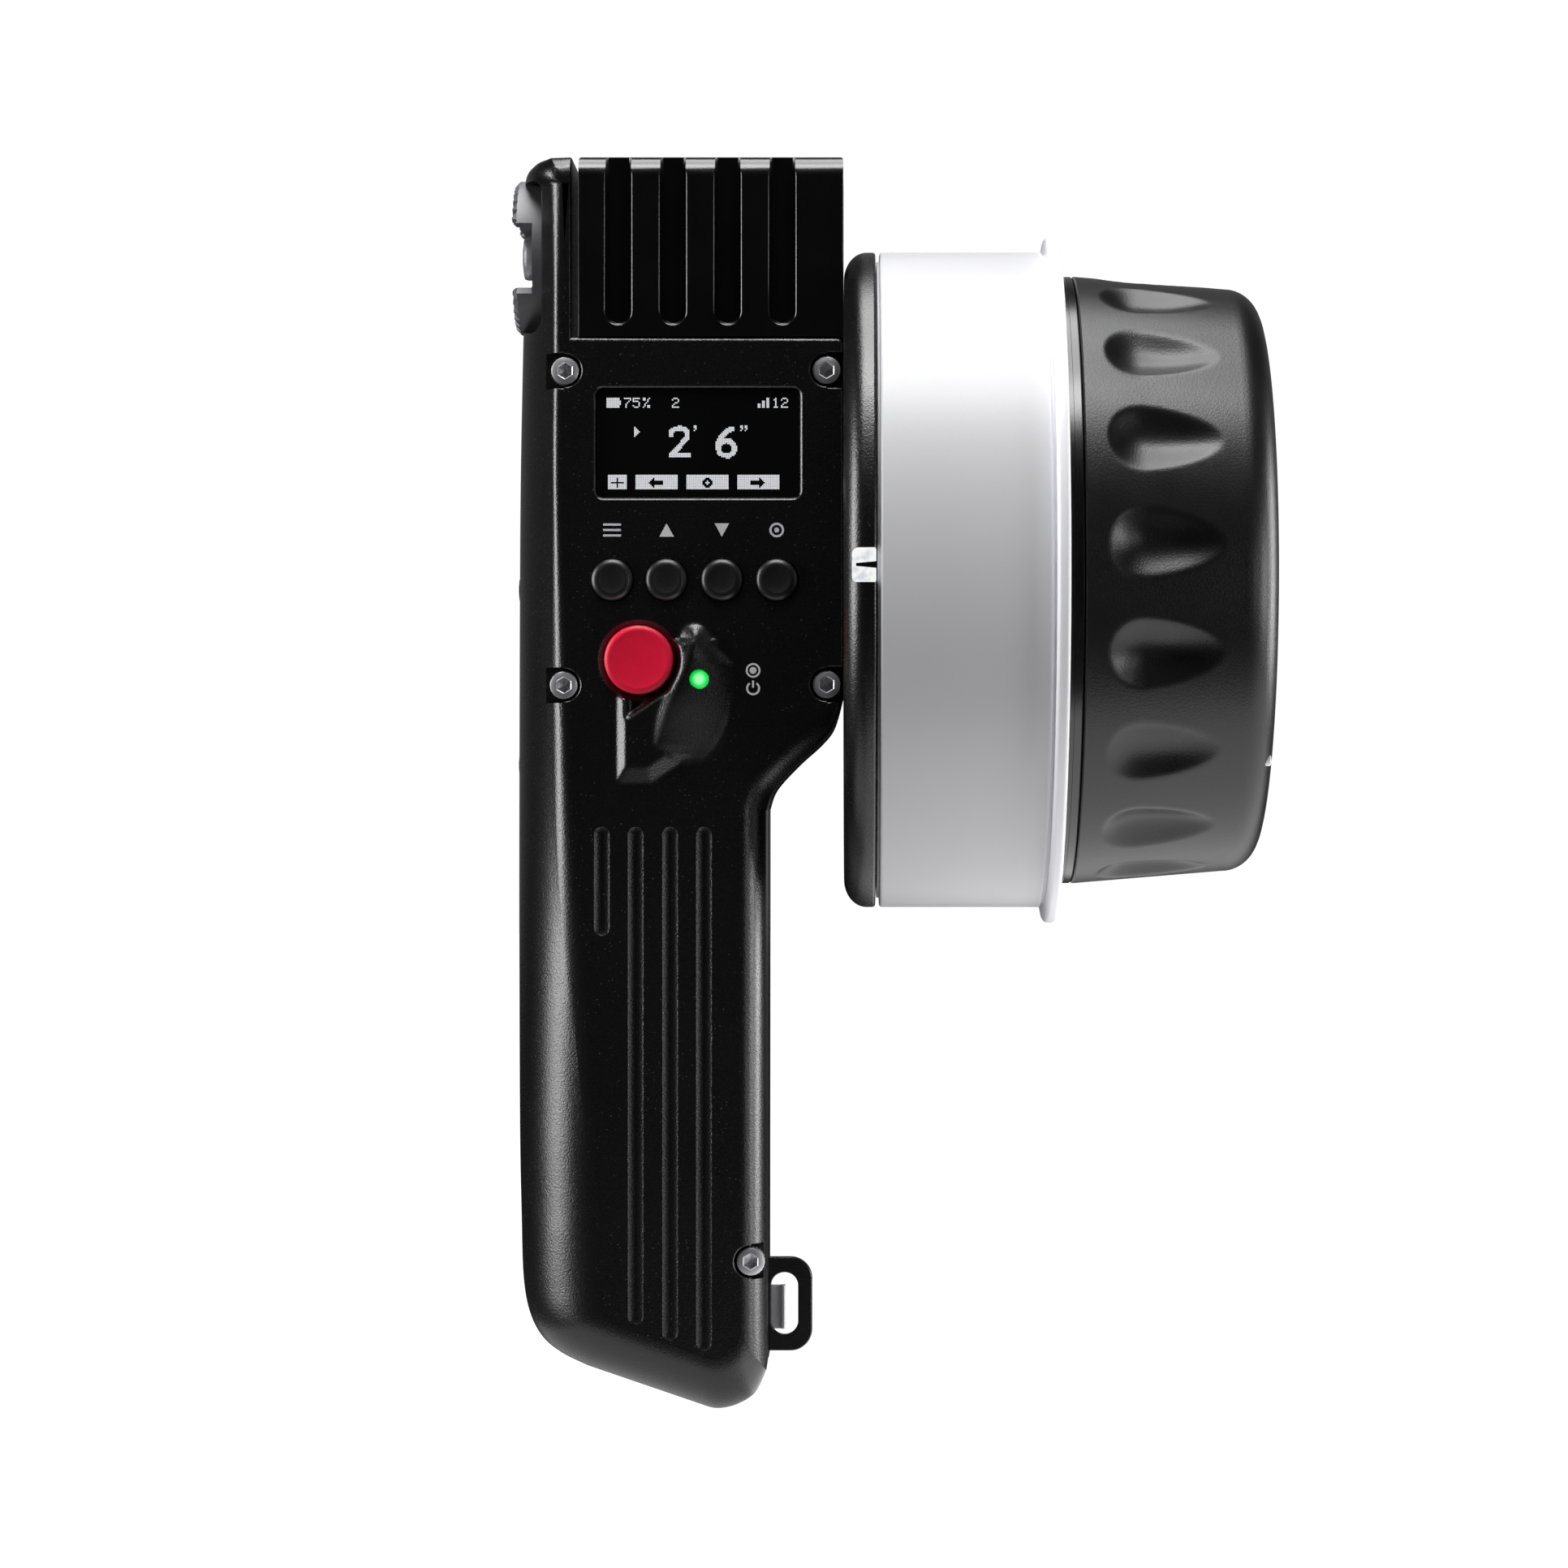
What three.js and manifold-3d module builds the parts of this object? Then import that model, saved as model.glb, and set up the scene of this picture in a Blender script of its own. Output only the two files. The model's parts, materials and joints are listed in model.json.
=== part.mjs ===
// Wireless lens controller: a handset with a grip and a display head, and a large focus knob on its side.
// Millimetres. X points to the knob, the display faces -Y, Z is up; the origin is the middle of the grip.
import * as THREE from "three";
import { mergeVertices } from "three/addons/utils/BufferGeometryUtils.js";
import Module from "manifold-3d";

const wasm = await Module();
wasm.setup();

// Handset: two shells that meet at the seam
const DEPTH = 38;
const FRONT = -DEPTH / 2;
const BACK = DEPTH / 2;
const SEAM = 3;
const SEAM_GAP = 0.1;
const WALL = 2.4;
const FACE_WALL = 2;
const INSIDE_FRONT = FRONT + FACE_WALL;
const HEAD_TOP = 119.9;
const CAVITY_TOP = 117.4;
const HEAD_RIGHT = 32.2;
const GRIP_RIGHT = 20.1;
const COLUMN_TOP = 148.5;
const COLUMN_RIGHT = -10.4;
const CLEAR = 0.15;

// The handset's outline, counter-clockwise from the top left as the display is seen. Each stretch pairs the
// silhouette at mid depth with the edge of the flat face; round is the depth over which the side curves
// between them, and crest is 1 where it meets the face at an edge and 0 where it is a quarter ellipse.
const LEFT_SIDE = {
  steps: 9,
  side: [[-18.6, 143.5], [-18.8, 130], [-19.2, 115], [-19.6, 92.5], [-19.8, 50], [-19.8, 20], [-19.6, -6],
    [-18.7, -32.1]],
  face: [[-12.9, 144.6], [-12.9, 130], [-12.9, 115], [-12.9, 92.5], [-11.8, 50], [-9.4, 20], [-6.9, -6],
    [-5.2, -28.5]],
  round: [17, 17],
  crest: [1, 1, 1, 1, 0.8, 0.5, 0.2, 0],
};
const LOWER_LEFT = {
  steps: 5,
  side: [[-18.7, -32.1], [-17.4, -36.3], [-15.2, -39.1], [-12.9, -41.1], [-8.9, -43.1]],
  face: [[-5.2, -28.5], [-5.6, -31], [-5.9, -32.6], [-5, -34], [-3.4, -34.7]],
  round: [17, 12],
  crest: [0, 0],
};
const BOTTOM = {
  steps: 2,
  side: [[-8.9, -43.1], [9.8, -49.2]],
  face: [[-3.4, -34.7], [9.8, -39.4]],
  round: [12, 12],
  crest: [0, 0],
};
const LOWER_RIGHT = {
  steps: 4,
  side: [[9.8, -49.2], [12.2, -49.6], [15.3, -48.8], [18.3, -46.6], [GRIP_RIGHT, -42.5]],
  face: [[9.8, -39.4], [11.6, -39.9], [13.6, -39.6], [15.4, -38.2], [16.1, -36]],
  round: [12, 6],
  crest: [0, 0],
};
const GRIP_SIDE = {
  steps: 2,
  side: [[GRIP_RIGHT, -42.5], [GRIP_RIGHT, 46]],
  face: [[16.1, -36], [16.1, 46.6]],
  round: [6, 5],
  crest: [0, 0],
};
const NECK = {
  steps: 6,
  side: [[GRIP_RIGHT, 46], [21.3, 49.2], [24.9, 53.2], [28.8, 56.8], [30.8, 59.6], [HEAD_RIGHT, 64.5]],
  face: [[16.1, 46.6], [17.6, 51], [21.9, 55.4], [26.4, 59.2], [29.4, 62.4], [31.7, 66.8]],
  round: [5, 0.5],
  crest: [0, 0],
};
const HEAD_SIDE = {
  steps: 1,
  side: [[HEAD_RIGHT, 64.5], [HEAD_RIGHT, HEAD_TOP - 1]],
  face: [[31.7, 66.8], [31.7, HEAD_TOP - 1.2]],
  round: [0.5, 0.5],
  crest: [0, 0],
};
const HEAD_EDGE = {
  steps: 2,
  side: [[HEAD_RIGHT, HEAD_TOP - 1], [31.9, HEAD_TOP - 0.3], [31.2, HEAD_TOP]],
  face: [[31.7, HEAD_TOP - 1.2], [31.5, HEAD_TOP - 0.7], [31, HEAD_TOP - 0.5]],
  round: [0.5, 0.5],
  crest: [0, 0],
};
const HEAD_LID_LINE = {
  steps: 1,
  side: [[31.2, HEAD_TOP], [COLUMN_RIGHT, HEAD_TOP]],
  face: [[31, HEAD_TOP - 0.5], [COLUMN_RIGHT - 0.2, HEAD_TOP - 0.5]],
  round: [0.5, 0.5],
  crest: [0, 0],
};
const COLUMN_SIDE = {
  steps: 1,
  side: [[COLUMN_RIGHT, HEAD_TOP], [COLUMN_RIGHT, COLUMN_TOP - 0.9]],
  face: [[COLUMN_RIGHT - 0.2, HEAD_TOP - 0.5], [COLUMN_RIGHT - 0.2, COLUMN_TOP - 2.1]],
  round: [0.5, 1.5],
  crest: [0, 0],
};
const COLUMN_EDGE = {
  steps: 2,
  side: [[COLUMN_RIGHT, COLUMN_TOP - 0.9], [-10.7, COLUMN_TOP - 0.2], [-11.4, COLUMN_TOP]],
  face: [[COLUMN_RIGHT - 0.2, COLUMN_TOP - 2.1], [-10.7, COLUMN_TOP - 1.8], [-11, COLUMN_TOP - 1.7]],
  round: [1.5, 1.7],
  crest: [0, 0],
};
const COLUMN_CROWN = {
  steps: 1,
  side: [[-11.4, COLUMN_TOP], [-13.6, COLUMN_TOP]],
  face: [[-11, COLUMN_TOP - 1.7], [-12, COLUMN_TOP - 1.7]],
  round: [1.7, 4],
  crest: [0, 0],
};
const UPPER_LEFT = {
  steps: 4,
  side: [[-13.6, COLUMN_TOP], [-15.6, 148.1], [-17.2, 147], [-18.2, 145.5], [-18.6, 143.5]],
  face: [[-12, COLUMN_TOP - 1.7], [-12.3, 146.7], [-12.6, 146.3], [-12.8, 145.6], [-12.9, 144.6]],
  round: [4, 17],
  crest: [0, 1],
};
const LOWER_STRETCHES = [LEFT_SIDE, LOWER_LEFT, BOTTOM, LOWER_RIGHT, GRIP_SIDE, NECK];
const OUTLINE = [...LOWER_STRETCHES, HEAD_SIDE, HEAD_EDGE, HEAD_LID_LINE, COLUMN_SIDE, COLUMN_EDGE, COLUMN_CROWN,
  UPPER_LEFT];
// The hollow follows the outline up to the head, and runs on past its top, where it is cut flat
const HOLLOW_HEAD = {
  steps: 1,
  side: [[HEAD_RIGHT, 64.5], [HEAD_RIGHT, 145]],
  face: [[31.7, 66.8], [31.7, 145]],
  round: [0.5, 0.5],
  crest: [0, 0],
};
const HOLLOW_ROOF = {
  steps: 1,
  side: [[HEAD_RIGHT, 145], [-18.6, 143.5]],
  face: [[31.7, 145], [-12.9, 144.6]],
  round: [0.5, 17],
  crest: [0, 1],
};
const FLANK_STEPS = 4;
const CREST_POWER = 1.4;
const FACE_BOW = 0.02;
const SEAL = { outside: 0.5, inside: 1.1, half: 0.6, top: 112, spare: 0.05 };

// Front face: display, buttons, status light, thumb scoop
const DISPLAY = { x0: -6.6, x1: 25.5, z0: 95, z1: 112.3, corner: 1.2, sunk: 0.7, thick: 1 };
const WINDOW_OPENING = { x0: -5.4, x1: 24.8, z0: 96, z1: 111.4 };
const MODULE = { x0: -7, x1: 25.8, y0: -16.7, y1: -14.2, z0: 93.4, z1: 113.9 };
const BUTTON_Z = 82.2;
const BUTTON_X = { menu: -4, up: 4.5, down: 13.2, set: 21.8 };
const BUTTON = { radius: 3.3, crown: 2, proud: 0.9, flange: 3.9, hole: 3.45, segments: 18 };
const RECORD_X = 0.2;
const RECORD_Z = 69.65;
const RECORD = { radius: 5.4, crown: 4.4, proud: 1.5, flange: 6.1, hole: 5.6, segments: 24 };
const RECORD_RING = { radius: 6.6, depth: 0.6 };
const FLANGE_FRONT = INSIDE_FRONT + CLEAR;
const FLANGE_BACK = -15.9;
const LIGHT = { x: 9.7, z: 66.6, radius: 1.45, hole: 1.55, tip: -20.6, foot: -13 };
const SCOOP_DEPTH = 2.4;
const SCOOP = [[-1.6, 62], [-2.4, 61], [-2.6, 52], [-1.6, 50.6], [2.3, 50.4], [7, 53.6], [7.6, 60], [7.6, 66]];
const SCOOP_TOP = 61.6;
const SCOOP_NECK = { depth: 1.4, outline: [[-1.6, 60], [-1.6, 63.4], [0, 64], [3, 65], [5.2, 67.5], [6, 70],
  [6.3, 72.4], [7.8, 72.4], [7.4, 69.8], [6.2, 66.3], [4.5, 61.5], [4, 60]] };
const SCOOP_PAD = { x0: -5, x1: 9, y0: FRONT + 1, y1: -14.9, z0: 48.4, z1: 61.8 };
const LEAF = [[8.7, 75], [9.6, 74.3], [11.1, 72], [12, 70.7], [14.2, 68.8], [14.5, 64.2], [13.4, 59.5],
  [11.5, 55.3], [10, 54.4], [3, 54.4], [3.3, 57], [4.5, 61.5], [6.2, 66.3], [7.4, 70.5], [7.8, 73.6]];
const LEAF_RIDGE = 2.2;
const LEAF_RIDGE_X = 5;
const LEAF_TILT = 12;
const LEAF_LEAN = 14;
const GRIP_GROOVE = { width: 2.45, depth: 0.8, top: 43.5 };
const GRIP_GROOVES = [[-5.6, 26.4], [-0.3, -34.5], [5.1, -37], [10.4, -38.6]];

// Shell screws, with pockets that open out through the side
const SCREW = { head: 2.2, headTop: -18.7, seat: -15.8, socket: 1.1, socketDepth: 1.3, shank: 1.25, boss: 3.4 };
const POCKET = { radius: 2.6, height: 5.6, reach: 8 };
const SHELL_SCREWS = [
  { x: -11.4, z: 115, side: -1, tip: -9.6 },
  { x: 29.6, z: 115.1, side: 1, tip: -9.6 },
  { x: -11.6, z: 65.7, side: -1, tip: 9 },
  { x: 29.6, z: 65.8, side: 1, tip: 9 },
  { x: 17.7, z: -24.7, side: 1, tip: 9 },
];
const UPPER_SCREWS = SHELL_SCREWS.slice(0, 2);
const SIDE_SCREWS = [81.4, 53.2];
const SIDE_SCREW = { side: -1, headTop: -20, seat: -18.6, head: 2, socket: 0.8, shank: 1.2, tip: -15.3 };

// Battery under a lid that lifts off
const LID = { x0: -9.3, x1: HEAD_RIGHT, z0: HEAD_TOP + CLEAR, z1: 148.2, crown: 1.7, edge: 1 };
const LID_HOLLOW = { x0: -8.1, x1: 31, y: 14.8, z1: 146 };
const RIB = { groove: 4.3, pitch: 8.58, first: -5.1, count: 4, floor: 122, depth: 2.8 };
const BATTERY = { x0: -7.75, width: 38.4, y0: -7, thick: 21, z0: 88, height: 56.8 };
const BAY = { x0: -8.2, x1: 31.05, y0: -7.6, y1: 15 };
const TRAY = { wall: 1.4, base: 1.6, floor: 86.2, back: 11.5, top: CAVITY_TOP - 0.3, boss: 2.8, bossFront: -11.6 };
const TRAY_GAP = 0.3;
const CONTACTS = { x0: 5, x1: 18, y0: -4, y1: 8, z0: TRAY.floor + 0.1, z1: BATTERY.z0 - 0.1 };

// Knob: everything turns about an axis along X
const KNOB_Z = 82.9;
const BASE = { x0: HEAD_RIGHT + 0.1, x1: 37.3, radius: 52.5 };
const INDEX = { x0: 33.5, x1: BASE.x1, height: 5.2, back: -47.5, corner: 1, line: 0.7, lineStart: 34.4 };
const INDEX_ROOM = { depth: 4.5, half: 3.5 };
const INDEX_LIGHT = { x0: INDEX.x0, x1: BASE.x1, y0: -47.1, y1: -44.5, z0: KNOB_Z - 3, z1: KNOB_Z + 3 };
const SPINDLE = { radius: 4, shoulder: 6, flange: 15.5, flangeEnd: 40, end: 89 };
const BASE_SCREWS = [[-12.5, -2.4], [12.5, -2.4], [0, -10.4]];
const BASE_HOLE = 1.6;
const BASE_PAD = { x0: 26, x1: 30.5, radius: 3, drilled: 26.5 };
const BASE_SCREW = { side: 1, headTop: 42.2, seat: SPINDLE.flangeEnd + 0.05, head: 2.3, socket: 1, shank: 1.45,
  tip: 27 };
const BEARING = { inner: 4.05, outer: 9.5, width: 6, first: 45, second: 77 };
const NUT = { x0: 83.05, x1: 87.5, radius: 6.2 };
const DRUM = { x0: 39, radius: 48.6, lipStart: 67.2, lip: 48.9, x1: 68.5, inner: 46.4 };
const CORE = { end: 93.5, neck: 43.4, wall: 2.4 };
const HUB = { radius: 12, bore: 9.6, nutBore: 7.5, x0: 44, stop: 84 };
const ENCODER_BOARD = { x0: 38.2, x1: 39.8, inner: 17, outer: 33 };
const ENCODER_SENSOR = { x1: 42.4, half: 3, z0: KNOB_Z + 20, z1: KNOB_Z + 28 };
const ENCODER_DISC = { x0: 43, x1: 43.9, inner: 10, outer: 30 };
const SLEEVE = { x0: 68.7, x1: 98.3, start: 48.7, shoulder: 46.7, shoulderX: 92.9, corner: 5.3, inner: 43.8 };
const SLEEVE_RIM = { radius: 38, foot: CORE.end + 0.4 };
const END_COVER = { x0: CORE.end + 0.1, x1: 97.4, radius: SLEEVE_RIM.radius - 0.2, chamfer: 0.4 };
const END_DISH = { inner: 9.5, outer: 32.5, depth: 0.7 };
const DIMPLE = { count: 18, first: 4.3, x0: 72.3, widest: 77.4, x1: 89.8, half: 4.7, depth: 1.8 };
const RING = { x0: 37.45, step: 37.9, x1: 63.7, groove: 64.2, x2: 66.2, bore: 49.05, radius: 52.5, flange: 55 };
const RING_SEAL = { x: 51, centre: 48.05, section: 0.9, bed: 47 };
const MARKER = { y: -33, z: 53.8, radius: 0.85, tip: 97.9, foot: 95 };

// Rosette on the column, lanyard loop and strap clip on the grip
const ROSETTE = { z: 134.8, radius: 12.3, face: -20.4, back: -14.4 };
const TEETH = { count: 40, rim: 11.6, foot: 7.6, depth: 0.9 };
const ROSETTE_SLOT = { z0: 129.1, z1: 139.1, floor: -16.3 };
const ROSETTE_SCREW = { side: -1, headTop: -18.6, seat: ROSETTE_SLOT.floor - 0.05, head: 3.5, socket: 1.7,
  shank: 2.4, tip: -11.6 };
const LOOP = { x1: 27.2, z0: -40.5, z1: -25.4, thick: 1.6, corner: 4 };
const LOOP_SLOT = { x0: 20.3, x1: 25.1, z0: -37.9, z1: -27.9 };
const LOOP_FOOT = { x0: 16.1, x1: 17.5, z1: -28.7, half: 3 };
const CLIP = { x1: 22.8, z0: -37.5, z1: -30.4, y0: 6, thick: 0.9, footX0: 16.2, footX1: 17.3, footY1: 10 };

// Boards
const BOARD = { x0: -7.6, x1: 25.6, y0: -12.6, y1: -11.2, z0: 60.5, z1: 117 };
const SWITCH = { half: 2.6, base: -14, plunger: 1.1, tip: -14.8 };
const RADIO = { x0: -8, x1: 12, y0: -3, y1: -1.4, z0: -28, z1: 40 };
const SHIELD = { x0: -6, x1: 10, y0: -6, y1: -3.1, z0: 5, z1: 32 };
const ANTENNA = { x0: -5, x1: 23, y0: -16.4, y1: -13.6, z0: 114.4, z1: CAVITY_TOP - 0.2 };

// Finishes
const painted = { color: 0x0b0b0c, roughness: 0.42, metalness: 0.2 };
const blackPlastic = { color: 0x0d0d0e, roughness: 0.5, metalness: 0 };
const steel = { color: 0xb8babd, roughness: 0.22, metalness: 1 };
const satinMetal = { color: 0x9a9c9e, roughness: 0.4, metalness: 1 };
const blackSteel = { color: 0x17181a, roughness: 0.35, metalness: 0.6 };
const rubber = { color: 0x1b1c1e, roughness: 0.62, metalness: 0 };
const acetal = { color: 0xf1f2f4, roughness: 0.4, metalness: 0 };
const red = { color: 0xc4122f, roughness: 0.38, metalness: 0 };
const boardGreen = { color: 0x1c5a34, roughness: 0.6, metalness: 0 };
const glass = { color: 0x06070a, roughness: 0.08, metalness: 0 };
const clear = { color: 0xf4f7fa, roughness: 0.2, metalness: 0 };
const lit = { color: 0x2ee36a, roughness: 0.3, metalness: 0 };

const MERGE = 1e-4;
const ROUND = 48;
const SMALL = 12;
const FAR = 200;

// A closed surface as a solid whose faces point out
function solid(geometry) {
  const plain = new THREE.BufferGeometry();
  plain.setAttribute("position", geometry.getAttribute("position").clone());
  if (geometry.index) plain.setIndex(geometry.index);
  const merged = mergeVertices(plain, MERGE);
  const corners = merged.index.array;
  const faces = [];
  for (let i = 0; i < corners.length; i += 3) {
    const [a, b, c] = corners.slice(i, i + 3);
    if (a !== b && b !== c && c !== a) faces.push(a, b, c);
  }
  const vertProperties = merged.attributes.position.array;
  const make = (triVerts) => new wasm.Manifold(new wasm.Mesh({ numProp: 3, vertProperties, triVerts }));
  const made = make(new Uint32Array(faces));
  return made.volume() < 0 ? make(new Uint32Array(faces).reverse()) : made;
}

// A solid as a named mesh with its finish
function piece(name, shape, finish) {
  const mesh = shape.getMesh();
  const geometry = new THREE.BufferGeometry();
  geometry.setAttribute("position", new THREE.BufferAttribute(mesh.vertProperties, 3));
  geometry.setIndex(new THREE.BufferAttribute(mesh.triVerts, 1));
  geometry.computeVertexNormals();
  const made = new THREE.Mesh(geometry, new THREE.MeshStandardMaterial(finish));
  made.name = name;
  return made;
}

function box(x0, x1, y0, y1, z0, z1) {
  const geometry = new THREE.BoxGeometry(x1 - x0, y1 - y0, z1 - z0);
  return solid(geometry.translate((x0 + x1) / 2, (y0 + y1) / 2, (z0 + z1) / 2));
}

const block = ({ x0, x1, y0, y1, z0, z1 }) => box(x0, x1, y0, y1, z0, z1);

function roundedRect(x0, x1, z0, z1, r) {
  const shape = new THREE.Shape();
  shape.moveTo(x0 + r, z0).lineTo(x1 - r, z0).absarc(x1 - r, z0 + r, r, -Math.PI / 2, 0);
  shape.lineTo(x1, z1 - r).absarc(x1 - r, z1 - r, r, 0, Math.PI / 2);
  shape.lineTo(x0 + r, z1).absarc(x0 + r, z1 - r, r, Math.PI / 2, Math.PI);
  shape.lineTo(x0, z0 + r).absarc(x0 + r, z0 + r, r, Math.PI, 1.5 * Math.PI);
  return shape;
}

const polygon = (points) => new THREE.Shape(points.map(([x, z]) => new THREE.Vector2(x, z)));
const extruded = (shape, depth, curveSegments) =>
  new THREE.ExtrudeGeometry(shape, { depth, bevelEnabled: false, curveSegments });

// A shape drawn in X and Z, between two depths
function plate(shape, y0, y1, curveSegments = 4) {
  return solid(extruded(shape, y1 - y0, curveSegments).rotateX(Math.PI / 2).translate(0, y1, 0));
}

// A shape drawn in Y and Z, along X
function bar(shape, x0, x1, curveSegments = 4) {
  const cycle = new THREE.Matrix4().set(0, 0, 1, 0, 1, 0, 0, 0, 0, 1, 0, 0, 0, 0, 0, 1);
  return solid(extruded(shape, x1 - x0, curveSegments).applyMatrix4(cycle).translate(x0, 0, 0));
}

// A shape drawn in X and Y, upwards
function slab(shape, z0, z1, curveSegments = 4) {
  return solid(extruded(shape, z1 - z0, curveSegments).translate(0, 0, z0));
}

// A profile of [distance along the axis, radius] whose ends lie on the axis, or that closes on itself
function lathe(profile, segments) {
  const last = profile.at(-1);
  const closed = profile[0][1] === 0 && last[1] === 0 ? profile : [...profile, profile[0]];
  return new THREE.LatheGeometry(closed.map(([along, radius]) => new THREE.Vector2(radius, along)), segments);
}

// Turned about the X axis through a point, and about the Y axis through a point
function turnedX(profile, segments, y = 0, z = KNOB_Z) {
  return solid(lathe(profile, segments).rotateZ(-Math.PI / 2).translate(0, y, z));
}
function turnedY(profile, segments, x, z) {
  return solid(lathe(profile, segments).translate(x, 0, z));
}

const rodX = (x0, x1, radius, segments, y, z) =>
  turnedX([[x0, 0], [x0, radius], [x1, radius], [x1, 0]], segments, y, z);
const rodY = (y0, y1, radius, segments, x, z) =>
  turnedY([[y0, 0], [y0, radius], [y1, radius], [y1, 0]], segments, x, z);

// A surface about an axis along X whose profile changes with the angle, which runs from the front to the top
function spun(angles, profileAt, z) {
  const loops = angles.map((angle) =>
    profileAt(angle).map(([x, r]) => [x, -r * Math.cos(angle), z + r * Math.sin(angle)]));
  const points = loops[0].length;
  const index = [];
  loops.forEach((_, j) => {
    const next = (j + 1) % loops.length;
    for (let i = 0; i < points; i++) {
      const up = (i + 1) % points;
      const [a, b, c, d] = [j * points + i, j * points + up, next * points + up, next * points + i];
      index.push(a, b, c, a, c, d);
    }
  });
  const geometry = new THREE.BufferGeometry();
  geometry.setAttribute("position", new THREE.Float32BufferAttribute(loops.flat(2), 3));
  geometry.setIndex(index);
  return solid(geometry);
}

const union = (...shapes) => shapes.reduce((whole, shape) => whole.add(shape));
const cut = (whole, ...tools) => tools.reduce((rest, tool) => rest.subtract(tool), whole);

// Value at share t of a list whose entries are spread evenly
function along(list, t) {
  const place = t * (list.length - 1);
  const i = Math.min(Math.floor(place), list.length - 2);
  return THREE.MathUtils.lerp(list[i], list[i + 1], place - i);
}

// Points round the outline: silhouette, edge of the face, depth of the rounding and its sharpness
function stations(stretches) {
  const curve = (points) => new THREE.SplineCurve(points.map(([x, z]) => new THREE.Vector2(x, z)));
  return stretches.flatMap(({ steps, side, face, round, crest }) => {
    const [sideCurve, faceCurve] = [curve(side), curve(face)];
    const chord = faceCurve.getPoint(1).sub(faceCurve.getPoint(0)).normalize();
    return Array.from({ length: steps }, (_, i) => {
      const t = i / steps;
      const bow = FACE_BOW * Math.sin(Math.PI * t);
      return {
        side: sideCurve.getPoint(t),
        face: faceCurve.getPoint(t).add(new THREE.Vector2(chord.y * bow, -chord.x * bow)),
        round: along(round, t),
        crest: along(crest, t),
      };
    });
  });
}

// The same points moved in by a distance, square to the outline
function movedIn(points, distance) {
  return points.map((point, i) => {
    const before = points[(i + points.length - 1) % points.length];
    const after = points[(i + 1) % points.length];
    const run = after.clone().sub(before).normalize();
    return new THREE.Vector2(point.x - run.y * distance, point.y + run.x * distance);
  });
}

// A solid between two flat faces whose side curves from each face out to the silhouette at mid depth
function pebble(outline, half) {
  const count = outline.length;
  const positions = [];
  const ring = (step, sign) =>
    outline.forEach(({ side, face, round, crest }) => {
      const share = step / FLANK_STEPS;
      const angle = (share * Math.PI) / 2;
      const out = THREE.MathUtils.lerp(Math.sin(angle), share, crest);
      const inward = THREE.MathUtils.lerp(1 - Math.cos(angle), share ** CREST_POWER, crest);
      const spot = side.clone().lerp(face, inward);
      positions.push(spot.x, sign * (half - Math.min(round, half - 1) * (1 - out)), spot.y);
    });
  for (let step = FLANK_STEPS; step >= 0; step--) ring(step, -1);
  for (let step = 0; step <= FLANK_STEPS; step++) ring(step, 1);
  const index = [];
  const rings = 2 * FLANK_STEPS + 2;
  for (let j = 0; j < rings - 1; j++) {
    for (let k = 0; k < count; k++) {
      const [a, b] = [j * count + k, j * count + ((k + 1) % count)];
      index.push(a, a + count, b, b, a + count, b + count);
    }
  }
  const back = (rings - 1) * count;
  THREE.ShapeUtils.triangulateShape(outline.map(({ face }) => face), []).forEach(([a, b, c]) => {
    index.push(a, b, c, back + a, back + c, back + b);
  });
  const geometry = new THREE.BufferGeometry();
  geometry.setAttribute("position", new THREE.Float32BufferAttribute(positions, 3));
  geometry.setIndex(index);
  return solid(geometry);
}

function movedInStations(outline, sideIn, faceIn) {
  const sides = movedIn(outline.map(({ side }) => side), sideIn);
  const faces = movedIn(outline.map(({ face }) => face), faceIn);
  return outline.map((station, i) => ({ ...station, side: sides[i], face: faces[i] }));
}

const hollowOutline = stations([...LOWER_STRETCHES, HOLLOW_HEAD, HOLLOW_ROOF]);

// The housing before it is parted at the seam: hollow, with bosses for its screws
function housing() {
  const outer = pebble(stations(OUTLINE), DEPTH / 2);
  const inner = pebble(movedInStations(hollowOutline, WALL, WALL / 2), DEPTH / 2 - FACE_WALL)
    .intersect(box(-FAR, FAR, -FAR, FAR, -FAR, CAVITY_TOP));
  const bay = box(BAY.x0, BAY.x1, BAY.y0, BAY.y1, TRAY.floor, HEAD_TOP + 1);
  const bossEnd = TRAY.bossFront - 0.2;
  const trayWidth = box(BAY.x0 - TRAY.wall - TRAY_GAP, BAY.x1 - 0.1, -FAR, TRAY.back + TRAY_GAP,
    TRAY.floor - TRAY.base - TRAY_GAP, CAVITY_TOP);
  const trayDepth = box(-FAR, FAR, BAY.y0 - TRAY.wall - TRAY_GAP, FAR, -FAR, FAR);
  const bossRooms = UPPER_SCREWS.map(({ x, z }) => rodY(bossEnd + 0.1, BAY.y0, TRAY.boss + 0.2, SMALL, x, z));
  const trayRoom = union(trayDepth, ...bossRooms).intersect(trayWidth);
  const bosses = SHELL_SCREWS.map(({ x, z, tip }) =>
    rodY(FRONT + 1, tip < 0 ? bossEnd : BACK - 1, SCREW.boss, SMALL, x, z).intersect(outer));
  const pads = BASE_SCREWS.map(([y, dz]) => rodX(BASE_PAD.x0, BASE_PAD.x1, BASE_PAD.radius, SMALL, y, KNOB_Z + dz));
  const columnRoom = box(-FAR, COLUMN_RIGHT, -FAR, FAR, CAVITY_TOP, FAR);
  const hollow = cut(union(cut(inner, ...bosses, ...pads, block(SCOOP_PAD)), trayRoom, bay), columnRoom);
  return cut(outer, hollow, ...housingCuts());
}

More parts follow.
